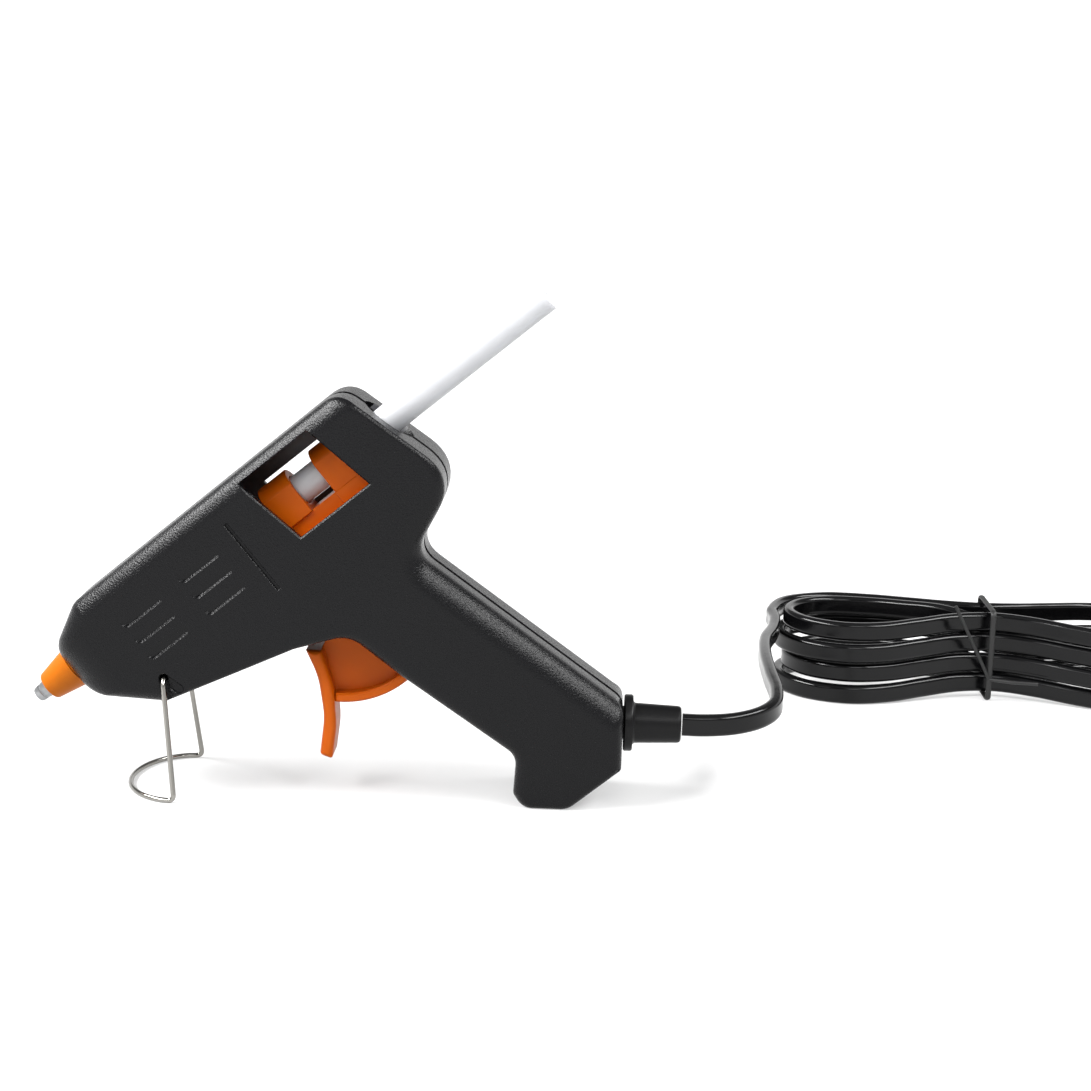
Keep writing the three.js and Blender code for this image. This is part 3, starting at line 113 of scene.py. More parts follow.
# How far from the side face the bosses end, inside the wall
PIVOT_BOSS_END = 1
SCREW_BOSS_END = 0.5
STEP_WIDTH = 0.8
STEP_HEIGHT = 19
STEP_DEPTH = 0.6
STEP_FLARE = 0.15
# How far the cuts run on: behind the front face, before the entry, and to both sides of the gland's mouth
NOSE_CUT_DEPTH = 5
NOSE_CUT_SPREAD = 2
ENTRY_CUT_DEPTH = 6
GLAND_CUT_ENDS = (-5, 6)
# Holes for the screws, and a screw itself, as places from the side face or the seat, and radii
SCREW_HOLE_RADIUS = 1.6
SCREW_RECESS = ((-2.2, SCREW_HOLE_RADIUS), (-2.2, 2.7), (-0.2, 2.7), (0, 2.9), (OVERRUN, 2.9), (OVERRUN, 0))
SCREW_SEAT = 1.9
SCREW_PROFILE = (
    (-15, 0), (-13.7, 1.3), (0, 1.3), (0, 2.25), (0.15, 2.4), (1, 2.4), (1.4, 1.9), (1.6, 0.9), (1.6, 0))
SCREW_CROSS = (1.5, 0.28)
SCREW_CROSS_FLOOR = 0.7

# Stick, nozzle and feeder
STICK_RADIUS = 3.6
STICK_LENGTH = 100
STICK_SEAT = 52.2
STICK_RING_STEP = 25
NOZZLE_RADIUS = 3.8
TIP_RADIUS = 1.85
TIP_BORE = 0.8
TIP_REACH = 0.4
COVER_FRONT = 3.2
COVER_FRONT_RADIUS = 3.5
COVER_REAR_RADIUS = 5.1
COVER_NECK_RADIUS = 4.6
COVER_WALL = 0.8
CHAMBER_FRONT = 17
CHAMBER_REAR = 50
CHAMBER_RADIUS = 5.6
SPIGOT_RADIUS = 4.9
SPIGOT_LENGTH = 6
HEATER_HALF_WIDTH = 4.6
CHAMBER_BLOCK_DEPTH = 6
CHAMBER_BLOCK_SETBACK = 1.9
CHAMBER_ROOF = 0.6
# The feeder's rings are round above, flat at their sides and run down into a bar with runners
RING_RADIUS = 5.8
RING_FLAT = 5.3
RING_SKIRT = 5.5
FRONT_RING_LENGTH = 8.2
REAR_RING_LENGTH = 9.2
FEEDER_FRONT = 71.7
FEEDER_LENGTH = 24.3
FEEDER_BAR_HEIGHT = 3.4
FEEDER_BAR_HALF_WIDTH = 4.5
RUNNER_HEIGHT = 1.6
RUNNER_HALF_WIDTH = 7.4
RAIL_THICKNESS = 1.5
LUG_HALF_LENGTH = 2.2
LUG_HALF_WIDTH = 2.6
LUG_WALL = 0.55
RING_EDGE = 0.4
BAR_EDGE = 0.3

# Trigger
# Its full pull, and how far above the pivot the drive pin sits
PULL = math.radians(24)
DRIVE_ARM = 13.65
DRIVE_PIN_RADIUS = 1.2
HUB_RADIUS = 4
HUB_HALF_WIDTH = 5
PIVOT_PIN_RADIUS = 1.5
BAR_HALF_WIDTH = 5.4
WEB_THICKNESS = 2.4
RIM_RADIUS = 22.8
RIM_THICKNESS = 2.1
RIM_HALF_WIDTH = 4.4
RIM_FROM = math.radians(226)
RIM_TO = math.radians(282)
RIM_PASSAGE = (math.radians(199), math.radians(309))
ARM_WALL = 1.4
ARM_FROM = 2.9
ARM_TO = 4.9
# Front edge of the web, as shares of the rim's radius and angles in degrees
WEB_FRONT = ((0.55, 204), (0.76, 217), (0.95, 225))
FINGER_BAR_ROUND = 1.3
WEB_EDGE = 0.15
RIM_EDGE = 0.45
HUB_EDGE = 0.3
# Corners of the finger bar, as shares of the rim's radius from the pivot, and how round they are
FINGER_BAR_SHARES = (
    (-0.58, -0.105, 0.03),
    (-0.655, -0.4, 0.9),
    (-0.87, -0.765, 0.9),
    (-1.165, -1.055, 0.05),
    (-1.095, -1.17, 0.04),
    (-0.84, -0.93, 0.9),
    (-0.61, -0.6, 0.9),
    (-0.455, -0.215, 0.03),
)

# Stand
WIRE_RADIUS = 0.6
WIRE_BEND = 2.2
FOOT_HALF_WIDTH = 18
FOOT_REACH = 13.2
LEG_LEAN = 3.4
GROOVE_LEAN = math.radians(10.58)
STAND_PIN_DEPTH = 3.4
# Grooves for the legs at rest and swung back: how long, and the second one's angle
GROOVE_RUN = 8.6
SWUNG_GROOVE_RUN = 4.3
SWUNG_GROOVE_ANGLE = math.radians(-75)
GROOVE_FLARE = 0.25

# Windows and vents
NEAR_WINDOW = (20, 18.3)
FAR_WINDOW = (18, 10.5)
WINDOW_RAKE = math.radians(11)
WINDOW_FLARE = 0.35
VENT_LENGTH = 11.2
VENT_WIDTH = 1.9
VENT_DEPTH = 0.75
VENT_EDGE = 0.4
# Depth left at a slot's upper edge and at its rear end, as shares of the full depth
VENT_TOP_SHARE = 0.06
VENT_REAR_SHARE = 0.3
VENT_COLUMNS = 2
VENT_ROWS = 3
VENT_COLUMN_STEP = 17.0
VENT_ROW_STEP = -4.7
ENTRY_RADIUS = 6.6
ENTRY_DEPTH = 2.6

# Cord, gland and plug
GLAND_HEIGHT = 18.2
GLAND_REACH = 13.4
GLAND_HOLE_RADIUS = 4.2
# The gland's flange and sleeve, as places from the grip's face, and radii
GLAND_PROFILE = (
    (-3.9, 0), (-3.9, 4.9), (-2.3, 4.9), (-2.3, 3.9), (0.3, 3.9), (0.3, 6.35), (0.6, 6.65), (2, 6.65),
    (2.4, 6.4), (2.5, 5.1), (2.9, 4.72), (12.8, 4.34), (13.4, 4.2), (13.7, 3.8), (13.7, 0),
)
CORD_SPACING = 1.5
# Section of the sheath: how round each core is, and how far the waist between them is drawn in
CORE_ROUND = 0.82
CORE_WAIST = 0.93
# The lead on its way to the hank, in millimetres from the floor under the gland's mouth
LEAD_ROUTE = (
    (0.3, 0, 18.2),
    (5.5, 0, 18.2),
    (12.5, 1.6, 18.4),
    (18.6, 5.6, 18.9),
    (22.6, 12, 19.5),
    (24, 22, 20.2),
    (23.6, 38, 20.8),
    (23.6, 56, 21),
    (25, 74, 20.6),
    (28, 89, 20),
)
# The hank: its middle, half width at its waist, pitch of its strands sideways and of its layers
HANK_CENTRE = (90, 110)
HANK_WAIST = 2.6
STRAND_PITCH = 4.8
LAYER_PITCH = 5.8
HANK_TAIL_RUN = 30
TIE_THICKNESS = 0.9
TIE_WIDTH = 2.4
TIE_HALF_BREADTH = 0.8
TIE_CORNER = 1
TAIL_RADIUS = 0.5
TAIL_BOW = 0.8
PLUG_LENGTH = 33
PLUG_HALF_WIDTH = 17.5
PLUG_HALF_HEIGHT = 6.8
PLUG_PIN_RADIUS = 2
PLUG_PIN_LENGTH = 19
PLUG_PIN_SPACING = 18.6
PIN_SLEEVE_LENGTH = 10
# One side of the plug from above: shares of its length and half width, and how round the corner is
PLUG_SIDE = ((0, 0.26, 0.4), (0.08, 0.4, 1), (0.42, 0.46, 6), (0.74, 0.9, 6), (0.84, 1, 2), (1, 1, 1.2))
PLUG_EDGE = 1.6
RIDGE_HALF_SIZE = (0.5, 5.2, 0.35)
RIDGE_COUNT = 5
RIDGE_START = 9
RIDGE_PITCH = 2.1

# Camera: place in metres, and the directions of the picture's right and up
CAMERA_PLACE = (0.05361, -0.49006, 0.15842)
CAMERA_RIGHT = (0.99911, 0.02779, 0.03170)
CAMERA_UP = (-0.03655, 0.19644, 0.97983)
PICTURE_WIDTH_PX = 1091
FOCAL_PX = 2165
SENSOR_MM = 36
# Stage, in metres: round of the floor where it meets the wall, and what the lamps point at
COVE_RADIUS = 0.6
LAMP_AIM = (0, 0, 0.04)
# Light of the room, tones of the paper, and how strongly it glows: distances in metres and strengths
ROOM_LIGHT = 0.22
PAPER_TONES = (0.42, 0.44)
GLOW_NEAR = (0.15, 0.45)
GLOW_FAR = (0.9, 0.95)


def linear(hex_colour):
    """Scene-linear colour of an sRGB hex value."""
    parts = [int(hex_colour[i:i + 2], 16) / 255 for i in (0, 2, 4)]
    return tuple(p / 12.92 if p <= 0.04045 else ((p + 0.055) / 1.055) ** 2.4 for p in parts)


# Sizes and colours that a user may change


def size_value(name, description, metres):
    """A length in metres."""
    return bpy.props.FloatProperty(name=name, description=description, default=metres, unit="LENGTH")


def colour_value(name, description, hex_colour):
    """A colour, given as an sRGB hex value."""
    return bpy.props.FloatVectorProperty(
        name=name, description=description, default=linear(hex_colour), subtype="COLOR")


def power_value(name, description, watts):
    """A lamp's power in watts."""
    return bpy.props.FloatProperty(name=name, description=description, default=watts, subtype="POWER")


class HousingSizes(bpy.types.PropertyGroup):
    """Sizes of the moulded housing."""
    length: size_value("Length", "Nozzle tip to the back face's lower corner", 0.112)
    grip_depth: size_value("Grip depth", "Barrel axis down to the heel", 0.0957)
    half_width: size_value(
        "Half width", "Parting plane out to a side face", round(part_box("housing_far")[1].y, 6))
    wall: size_value("Wall", "Thickness of the moulded wall", 0.002)


class CordSizes(bpy.types.PropertyGroup):
    """Sizes of the flat twin cord and of its hank."""
    width: size_value("Width", "Wide side of the flat cord", 0.0052)
    thickness: size_value("Thickness", "Narrow side of the flat cord", 0.0032)
    loops: bpy.props.IntProperty(name="Loops", description="Whole loops of the hank", default=4, min=1)
    run: size_value("Run", "Straight run of the hank between its folds", 0.078)
    fold: size_value("Fold", "Radius of the innermost fold", 0.0156)


class FinishColours(bpy.types.PropertyGroup):
    """Colours of the mouldings."""
    housing: colour_value("Housing", "Black moulding", "0c0c0e")
    orange: colour_value("Trigger", "Orange moulding", "c85a06")
    nozzle: colour_value("Nozzle", "Nozzle cover", "b86204")
    stick: colour_value("Stick", "Glue stick", "d2d3d6")
    cord: colour_value("Cord", "Cord and plug", "070708")


class StageSettings(bpy.types.PropertyGroup):
    """The floor and the studio lamps."""
    floor_size: size_value("Floor", "Radius of the round floor", 4)
    wall_height: size_value("Wall", "Height of the low wall round the floor", 1.4)
    overhead: power_value("Overhead", "Power of the overhead softbox", 0.8)
    edge: power_value("Edge", "Power of the strip softbox at the right, half that of the left one", 15)
    key: power_value("Key", "Power of the softbox at front left", 1.4)
    fill: power_value("Fill", "Power of the softbox above and behind the camera", 2)


def settings():
    """All the values that a user may change."""
    return bpy.context.scene.glue_applicator


def housing_sizes():
    """Length, grip depth, half width and wall of the housing, in millimetres."""
    sizes = settings().housing
    return sizes.length / MM, sizes.grip_depth / MM, sizes.half_width / MM, sizes.wall / MM


def place_of(shares):
    """Place in the barrel's side view, in millimetres, from shares of the housing's size."""
    length, depth, _, _ = housing_sizes()
    return shares[0] * length, shares[1] * depth


def upright(x, z, tilt=BARREL_TILT):
    """Turns a place of the barrel's side view to the upright frame."""
    return (x * math.cos(tilt) - z * math.sin(tilt),
            x * math.sin(tilt) + z * math.cos(tilt))


def along_barrel(x, z):
    """Turns an upright place back to the barrel's side view."""
    return upright(x, z, -BARREL_TILT)


def corner_place(index):
    """Place of a housing corner in the barrel's side view."""
    return place_of(HOUSING_CORNER_SHARES[index][:2])


def nose_place():
    """Where the housing's front face crosses the barrel's axis."""
    return corner_place(NOSE_CORNER)[0]


def tip_place():
    """Where the nozzle's tip lies in the row frame, from the trigger's pivot."""
    pull = next(j for j in frame["joints"] if j["name"] == "trigger_pull")
    x, z = upright(*place_of(PIVOT_SHARES))
    return Vector(pull["pos_m"]) - Vector((x, 0, z)) * MM


def upright_frame():
    """Upright, in millimetres, with its zero at the nozzle's tip."""
    return Matrix.Translation(tip_place()) @ Matrix.Scale(MM, 4)


def barrel_frame():
    """Along the barrel, in millimetres, with its zero at the nozzle's tip."""
    return upright_frame() @ Matrix.Rotation(-BARREL_TILT, 4, "Y")


def cord_frame():
    """On the floor under the gland's mouth."""
    return Matrix.Translation((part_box("cord_gland")[1].x, 0, 0)) @ Matrix.Scale(MM, 4)


# Outlines, in millimetres


def full_turn(steps):
    """Angles of a full turn, in even steps."""
    return [2 * math.pi * i / steps for i in range(steps)]


def arc(centre, radius, start, end, steps):
    """Points of an arc between two angles in radians."""
    return [
        (centre[0] + radius * math.cos(start + (end - start) * i / steps),
         centre[1] + radius * math.sin(start + (end - start) * i / steps))
        for i in range(steps + 1)
    ]


def slot_outline(start, end, radius, steps=8):
    """A straight slot with round ends."""
    heading = math.atan2(end[1] - start[1], end[0] - start[0])
    quarter = math.pi / 2
    return (arc(end, radius, heading - quarter, heading + quarter, steps)
            + arc(start, radius, heading + quarter, heading + 3 * quarter, steps))


def corner_ring(corners, inset_of, depth_of, steps):
    """Outline drawn in by each edge's own inset, its corners rounded, with a depth for each point.
    A corner is its place, how round it is and how round its edge is."""
    lines = []
    for i, (place, _, edge) in enumerate(corners):
        heading = (corners[(i + 1) % len(corners)][0] - place).normalized()
        inward = Vector((-heading.y, heading.x))
        lines.append((place + inward * inset_of(edge), heading, inset_of(edge), depth_of(edge)))
    ring = []
    for i, (_, corner_round, _) in enumerate(corners):
        from_a, heading_a, inset_a, depth_a = lines[i - 1]
        from_b, heading_b, inset_b, depth_b = lines[i]
        turn = heading_a.x * heading_b.y - heading_a.y * heading_b.x
        gap = from_b - from_a
        apex = from_a + heading_a * ((gap.x * heading_b.y - gap.y * heading_b.x) / turn)
        drawn = (inset_a + inset_b) / 2
        radius = max(corner_round - math.copysign(drawn, turn), corner_round / 8)
        tangent = radius * abs(math.tan(math.asin(max(-1, min(1, turn))) / 2))
        start = apex - heading_a * tangent
        end = apex + heading_b * tangent
        for k in range(steps + 1):
            share = k / steps
            point = start.lerp(apex, share).lerp(apex.lerp(end, share), share)
            ring.append((point.x, depth_a + (depth_b - depth_a) * share, point.y))
    return ring


def window_outline(shares, size):
    """The raked window in the side view."""
    width, height = size
    front, middle = place_of(shares)
    lean = height / 2 * math.tan(WINDOW_RAKE)
    low = middle - height / 2
    high = middle + height / 2
    return [
        (front + lean, low),
        (front + lean + width, low),
        (front - lean + width, high),
        (front - lean, high),
    ]


def grown(outline, by):
    """Outline moved out by a distance, for an anticlockwise polygon."""
    count = len(outline)
    out = []
    for i in range(count):
        before = Vector(outline[i]) - Vector(outline[i - 1])
        after = Vector(outline[(i + 1) % count]) - Vector(outline[i])
        a = Vector((before.y, -before.x)).normalized()
        b = Vector((after.y, -after.x)).normalized()
        out.append(tuple(Vector(outline[i]) + (a + b) * by / max(1 + a.dot(b), 0.2)))
    return out


# Meshes, in millimetres, as lists of points and faces


def joined(*shapes):
    """Several shapes as one."""
    points, faces = [], []
    for shape_points, shape_faces in shapes:
        shift = len(points)
        points += shape_points
        faces += [tuple(i + shift for i in face) for face in shape_faces]
    return points, faces


def loft(rings, closed=False):
    """Skin between rings of equal count, with a face at each end, or none where it closes on itself."""
    count = len(rings[0])
    points = [tuple(p) for ring in rings for p in ring]
    faces = []
    last = len(rings) if closed else len(rings) - 1
    for r in range(last):
        a, b = r * count, (r + 1) % len(rings) * count
        faces += [(a + i, a + (i + 1) % count, b + (i + 1) % count, b + i) for i in range(count)]
    if not closed:
        faces.append(tuple(range(count)))
        faces.append(tuple(reversed(range((len(rings) - 1) * count, len(rings) * count))))
    return points, faces


def prism(outline, start, end, bevel=0):
    """Outline of the side view run across the body, its two edges bevelled."""
    levels = [(start, outline), (end, outline)]
    if bevel:
        small = grown(outline, -bevel)
        levels = [(start, small), (start + bevel, outline), (end - bevel, outline), (end, small)]
    return loft([[(x, y, z) for x, z in points] for y, points in levels])


def flared(outline, start, end, surface, flare=EDGE_FLARE):
    """Cutting prism that widens where it passes the surface, so the cut's edge is broken."""
    side = math.copysign(1, end - start)
    levels = [
        (start, outline),
        (surface - side * flare, outline),
        (surface, grown(outline, flare)),
        (end, grown(outline, flare)),
    ]
    return loft([[(x, y, z) for x, z in points] for y, points in levels])


def box(low, high):
    """A plain block between two corners."""
    rings = [[(x, low[1], low[2]), (x, high[1], low[2]), (x, high[1], high[2]), (x, low[1], high[2])]
             for x in (low[0], high[0])]
    return loft(rings)


def turned(profile, sides, across=None, height=0):
    """A piece turned from a closed profile of places and radii: along x at a height, or across
    the body round a centre."""
    turns = [(math.cos(a), math.sin(a)) for a in full_turn(sides)]
    rings = []
    for place, radius in [*profile, profile[0]]:
        if across is None:
            rings.append([(place, radius * c, height + radius * s) for c, s in turns])
        else:
            rings.append([(across[0] + radius * s, place, across[1] + radius * c) for c, s in turns])
    points, faces = loft(rings)
    return points, faces[:-2]


def rod(start, end, radius, sides, height=0):
    """A plain round rod along x."""
    return turned([(start, 0), (start, radius), (end, radius), (end, 0)], sides, height=height)


def rounded_slab(corners, middle, half, steps, arc_steps):
    """Rings of a slab in the side view, with its edges as round as each corner says."""
    rings = []
    for side in (-1, 1):
        for k in range(steps + 1):
            angle = math.pi / 2 * (k / steps if side < 0 else 1 - k / steps)
            rings.append(corner_ring(
                corners,
                lambda edge, a=angle: edge * (1 - math.sin(a)),
                lambda edge, a=angle, s=side: middle + s * (half - edge * (1 - math.cos(a))),
                arc_steps,
            ))
    return rings


def disc(place, radius, start, end, sides=40, bevel=0):
    """A cylinder across the body, its two edges bevelled."""
    profile = [(start, 0), (start, radius - bevel), (start + bevel, radius), (end - bevel, radius),
               (end, radius - bevel), (end, 0)]
    return turned(profile, sides, across=place)


def tidy(mesh, merge=1e-4):
    """Joins doubled points, drops collapsed faces and turns every face outwards."""
    work = bmesh.new()
    work.from_mesh(mesh)
    bmesh.ops.remove_doubles(work, verts=work.verts, dist=merge)
    bmesh.ops.dissolve_degenerate(work, edges=work.edges, dist=merge)
    bmesh.ops.recalc_face_normals(work, faces=work.faces)
    work.to_mesh(mesh)
    work.free()


def body_object(name, shape):
    """An object of its own from points and faces."""
    mesh = bpy.data.meshes.new(name)
    mesh.from_pydata(shape[0], [], shape[1])
    tidy(mesh)
    made = bpy.data.objects.new(name, mesh)
    bpy.context.scene.collection.objects.link(made)
    return made


def settled(made):
    """Makes the object's modifiers part of its mesh."""
    graph = bpy.context.evaluated_depsgraph_get()
    mesh = bpy.data.meshes.new_from_object(made.evaluated_get(graph), depsgraph=graph)
    old = made.data
    made.modifiers.clear()
    made.data = mesh
    mesh.name = made.name
    bpy.data.meshes.remove(old)
    return made


def cut(made, *shapes, operation="DIFFERENCE"):
    """Cuts shapes from an object, or adds them, and removes the cutters."""
    cutters = [body_object("cutter", s) if isinstance(s, tuple) else s for s in shapes]
    for cutter in cutters:
        boolean = made.modifiers.new("cut", "BOOLEAN")
        boolean.operation = operation
        boolean.solver = "EXACT"
        boolean.object = cutter
    settled(made)
    for cutter in cutters:
        bpy.data.objects.remove(cutter)
    return made


def softened(made, width, segments=2, angle=40):
    """Rounds an object's sharp edges."""
    bevel = made.modifiers.new("edges", "BEVEL")
    bevel.width = width
    bevel.segments = segments
    bevel.limit_method = "ANGLE"
    bevel.angle_limit = math.radians(angle)
    return settled(made)


def finished(made, finish, body, nodes, place=None, angle=32):
    """Sets a piece in place, along the barrel if nothing else is said, gives it its finish unless it
    has one, shades it, and lets it ride on its body in place of the solids."""
    made.data.transform(barrel_frame() if place is None else place)
    if finish:
        made.data.materials.clear()
        made.data.materials.append(surface(finish))
    made.data.shade_smooth()
    made.data.set_sharp_from_angle(angle=math.radians(angle))
    weighted = made.modifiers.new("normals", "WEIGHTED_NORMAL")
    weighted.keep_sharp = True
    settled(made)
    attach(made, body)
    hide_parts(*nodes)
    return made


# Materials

# How far the roughness of a finish wanders to either side
UNEVEN_GLOSS = 0.06
SOFT_PLASTIC = {"Subsurface Weight": 0.1, "Subsurface Scale": 0.001, "Specular IOR Level": 0.16}
WAX = {"Subsurface Weight": 0.8, "Subsurface Scale": 0.003, "Subsurface Radius": (1, 1, 1),
       "Specular IOR Level": 0.45}
METAL = {"Metallic": 1}

# For each finish: its colour, as a hex value or as a colour that the user may change; how big its grain
# is and how deep; its roughness; how big its mottle is and how far the colour shifts; and what else the
# shader needs. Grain and mottle are in millimetres.
FINISHES = {
    # Black ABS from a spark-eroded mould: a fine matt grain that catches a grey sheen on rounded edges
    "grained_black_abs": ("housing", 0.42, 0.12, 0.27, 14, 0.12, {"Specular IOR Level": 0.18}),
    # The inside faces of the black housing, duller than the outside: their mid grey is painted light inside
    # the housing, seen through the windows
    "core_side_black_abs": ("77777a", 1.2, 0.03, 0.55, 10, 0.12, {"Specular IOR Level": 0.4}),
    # Moulded polypropylene: an even satin face, and a little light scattered inside
    "orange_polypropylene": ("orange", 0.9, 0.012, 0.38, 7, 0.07, SOFT_PLASTIC),
    # Heat-proof silicone sleeve: soft gloss with a faint dusty bloom
    "orange_silicone": ("nozzle", 0.6, 0.012, 0.42, 3, 0.08, SOFT_PLASTIC),
    # Hot-melt glue: milky and waxy, so light passes a little way into it
    "hot_melt_glue": ("stick", 2.5, 0.03, 0.34, 6, 0.03, WAX),
    # Extruded PVC sheath: smooth and glossy, with faint waves along it
    "glossy_black_pvc": ("cord", 1.6, 0.01, 0.16, 5, 0.12, {"Specular IOR Level": 0.25}),
    # Moulded soft PVC of the gland and plug: duller than the extruded sheath
    "moulded_black_pvc": ("cord", 0.4, 0.03, 0.36, 8, 0.12, {"Specular IOR Level": 0.2}),
    # Drawn or plated metals, with faint unevenness of tone and gloss
    "nickel_plated_wire": ("96948f", 0.8, 0.004, 0.16, 4, 0.06, METAL),
    "zinc_plated_steel": ("b9bbbd", 0.8, 0.004, 0.34, 4, 0.06, METAL),
    "spring_steel": ("8f9092", 0.8, 0.004, 0.38, 4, 0.06, METAL),
    "plated_brass": ("d8c690", 0.8, 0.004, 0.24, 4, 0.06, METAL),
    # What the inner parts and the tie are made of
    "coated_tie_wire": ("151515", 0.6, 0.02, 0.5, 9, 0.12, {}),
    "heater_ceramic": ("d9d4c8", 0.4, 0.02, 0.7, 9, 0.12, {}),
    "mica_sheet": ("b08d57", 1.2, 0.02, 0.75, 4, 0.25, {}),
    "red_silicone_sleeve": ("b34a2e", 0.6, 0.01, 0.55, 9, 0.12, {}),
    "red_lead_silicone": ("9c2b22", 0.6, 0.01, 0.5, 9, 0.12, {}),
    "blue_lead_silicone": ("2b4b8f", 0.6, 0.01, 0.5, 9, 0.12, {}),
}


def add_node(tree, kind, values=(), links=(), **options):
    """Adds a node with its settings, its sockets' values and what feeds them."""
    node = tree.nodes.new(kind)
    for name, value in options.items():
        setattr(node, name, value)
    for name, value in dict(values).items():
        node.inputs[name].default_value = value
    for name, source in dict(links).items():
        tree.links.new(source, node.inputs[name])
    return node


def per_size(millimetres):
    """Scale of a pattern whose features are this big."""
    return 1 / (millimetres * MM)


def noise(tree, where, millimetres, detail):
    """Noise whose features are this big."""
    made = add_node(tree, "ShaderNodeTexNoise", {"Scale": per_size(millimetres), "Detail": detail},
                    {"Vector": where})
    return made.outputs["Fac"]


def colour_between(tree, low, high, share):
    """A colour between two, by the share that another node gives."""
    made = add_node(tree, "ShaderNodeMix", {6: (*low, 1), 7: (*high, 1)}, {0: share}, data_type="RGBA")
    return made.outputs[2]


def surface_tree(name):
    """An empty material and its node tree."""
    made = bpy.data.materials.new(name)
    made.use_nodes = True
    made.node_tree.nodes.clear()
    return made, made.node_tree


def moulded(name, colour, grain, relief, roughness, mottle, shift, shader):
    """A surface with fine grain, a slow change of colour and uneven gloss."""
    made, tree = surface_tree(name)
    where = add_node(tree, "ShaderNodeTexCoord").outputs["Object"]
    fine = noise(tree, where, grain, 2)
    chosen = settings().colours
    tone = getattr(chosen, colour) if hasattr(chosen, colour) else linear(colour)
    dark = tuple(c * (1 - shift) for c in tone)
    light = tuple(min(c * (1 + shift), 1) for c in tone)
    tint = colour_between(tree, dark, light, noise(tree, where, mottle, 3))
    gloss = add_node(tree, "ShaderNodeMapRange",
                     {"To Min": roughness - UNEVEN_GLOSS, "To Max": roughness + UNEVEN_GLOSS},
                     {"Value": fine})
    bumps = add_node(tree, "ShaderNodeBump", {"Strength": 1, "Distance": relief * MM}, {"Height": fine})
    bsdf = add_node(tree, "ShaderNodeBsdfPrincipled", shader, {
        "Base Color": tint,
        "Roughness": gloss.outputs["Result"],
        "Normal": bumps.outputs["Normal"],
    })
    add_node(tree, "ShaderNodeOutputMaterial", (), {"Surface": bsdf.outputs["BSDF"]})
    return made


def turned_aluminium():
    """Lathe-turned aluminium: fine rings round the barrel's axis."""
    made, tree = surface_tree("turned_aluminium")
    where = add_node(tree, "ShaderNodeTexCoord").outputs["Object"]
    to_axis = add_node(tree, "ShaderNodeMapping", {"Rotation": (0, BARREL_TILT, 0)}, {"Vector": where})
    rings = add_node(tree, "ShaderNodeTexWave", {"Scale": per_size(6), "Distortion": 0.4},
                     {"Vector": to_axis.outputs["Vector"]}, bands_direction="X")
    tint = colour_between(tree, linear("7c7d7f"), linear("a6a7a8"), noise(tree, where, 1.5, 4))
    relief = add_node(tree, "ShaderNodeBump", {"Strength": 0.6, "Distance": 0.02 * MM},
                      {"Height": rings.outputs["Fac"]})
    bsdf = add_node(tree, "ShaderNodeBsdfPrincipled", {"Metallic": 1, "Roughness": 0.3},
                    {"Base Color": tint, "Normal": relief.outputs["Normal"]})
    add_node(tree, "ShaderNodeOutputMaterial", (), {"Surface": bsdf.outputs["BSDF"]})
    return made


def surface(name):
    """The named finish, made once."""
    if name in bpy.data.materials:
        return bpy.data.materials[name]
    if name == "turned_aluminium":
        return turned_aluminium()
    return moulded(name, *FINISHES[name])


# Geometry Nodes


def geometry_tree(name, inputs):
    """An empty geometry tree with named inputs, given as name and kind of socket, and a material."""
    tree = bpy.data.node_groups.new(name, "GeometryNodeTree")
    for label, kind in [("Geometry", "Geometry"), *inputs, ("Material", "Material")]:
        tree.interface.new_socket(label, in_out="INPUT", socket_type=f"NodeSocket{kind}")
    tree.interface.new_socket("Geometry", in_out="OUTPUT", socket_type="NodeSocketGeometry")
    return tree, add_node(tree, "NodeGroupInput").outputs


def end_tree(tree, result, material):
    """Makes the result real and gives it its material."""
    made = add_node(tree, "GeometryNodeRealizeInstances", (), {"Geometry": result})
    painted = add_node(tree, "GeometryNodeSetMaterial", (),
                       {"Geometry": made.outputs["Geometry"], "Material": material})
    add_node(tree, "NodeGroupOutput", (), {"Geometry": painted.outputs["Geometry"]})
    return tree


def wire_tree():
    """A round wire along a line of points."""
    tree, given = geometry_tree("wire_along_line", [("Radius", "Float"), ("Sides", "Int")])
    line = add_node(tree, "GeometryNodeMeshToCurve", (), {"Mesh": given["Geometry"]})
    section = add_node(tree, "GeometryNodeCurvePrimitiveCircle", (),
                       {"Radius": given["Radius"], "Resolution": given["Sides"]})
    wire = add_node(tree, "GeometryNodeCurveToMesh", {"Fill Caps": True},
                    {"Curve": line.outputs["Curve"], "Profile Curve": section.outputs["Curve"]})
    return end_tree(tree, wire.outputs["Mesh"], given["Material"])


def repeat_tree():
    """The same small piece at each of several points."""
    tree, given = geometry_tree("piece_at_points", [("Piece", "Object"), ("Turn", "Vector")])
    piece = add_node(tree, "GeometryNodeObjectInfo", (), {"Object": given["Piece"]})
    placed = add_node(tree, "GeometryNodeInstanceOnPoints", (), {
        "Points": given["Geometry"], "Instance": piece.outputs["Geometry"], "Rotation": given["Turn"]})
    return end_tree(tree, placed.outputs["Instances"], given["Material"])


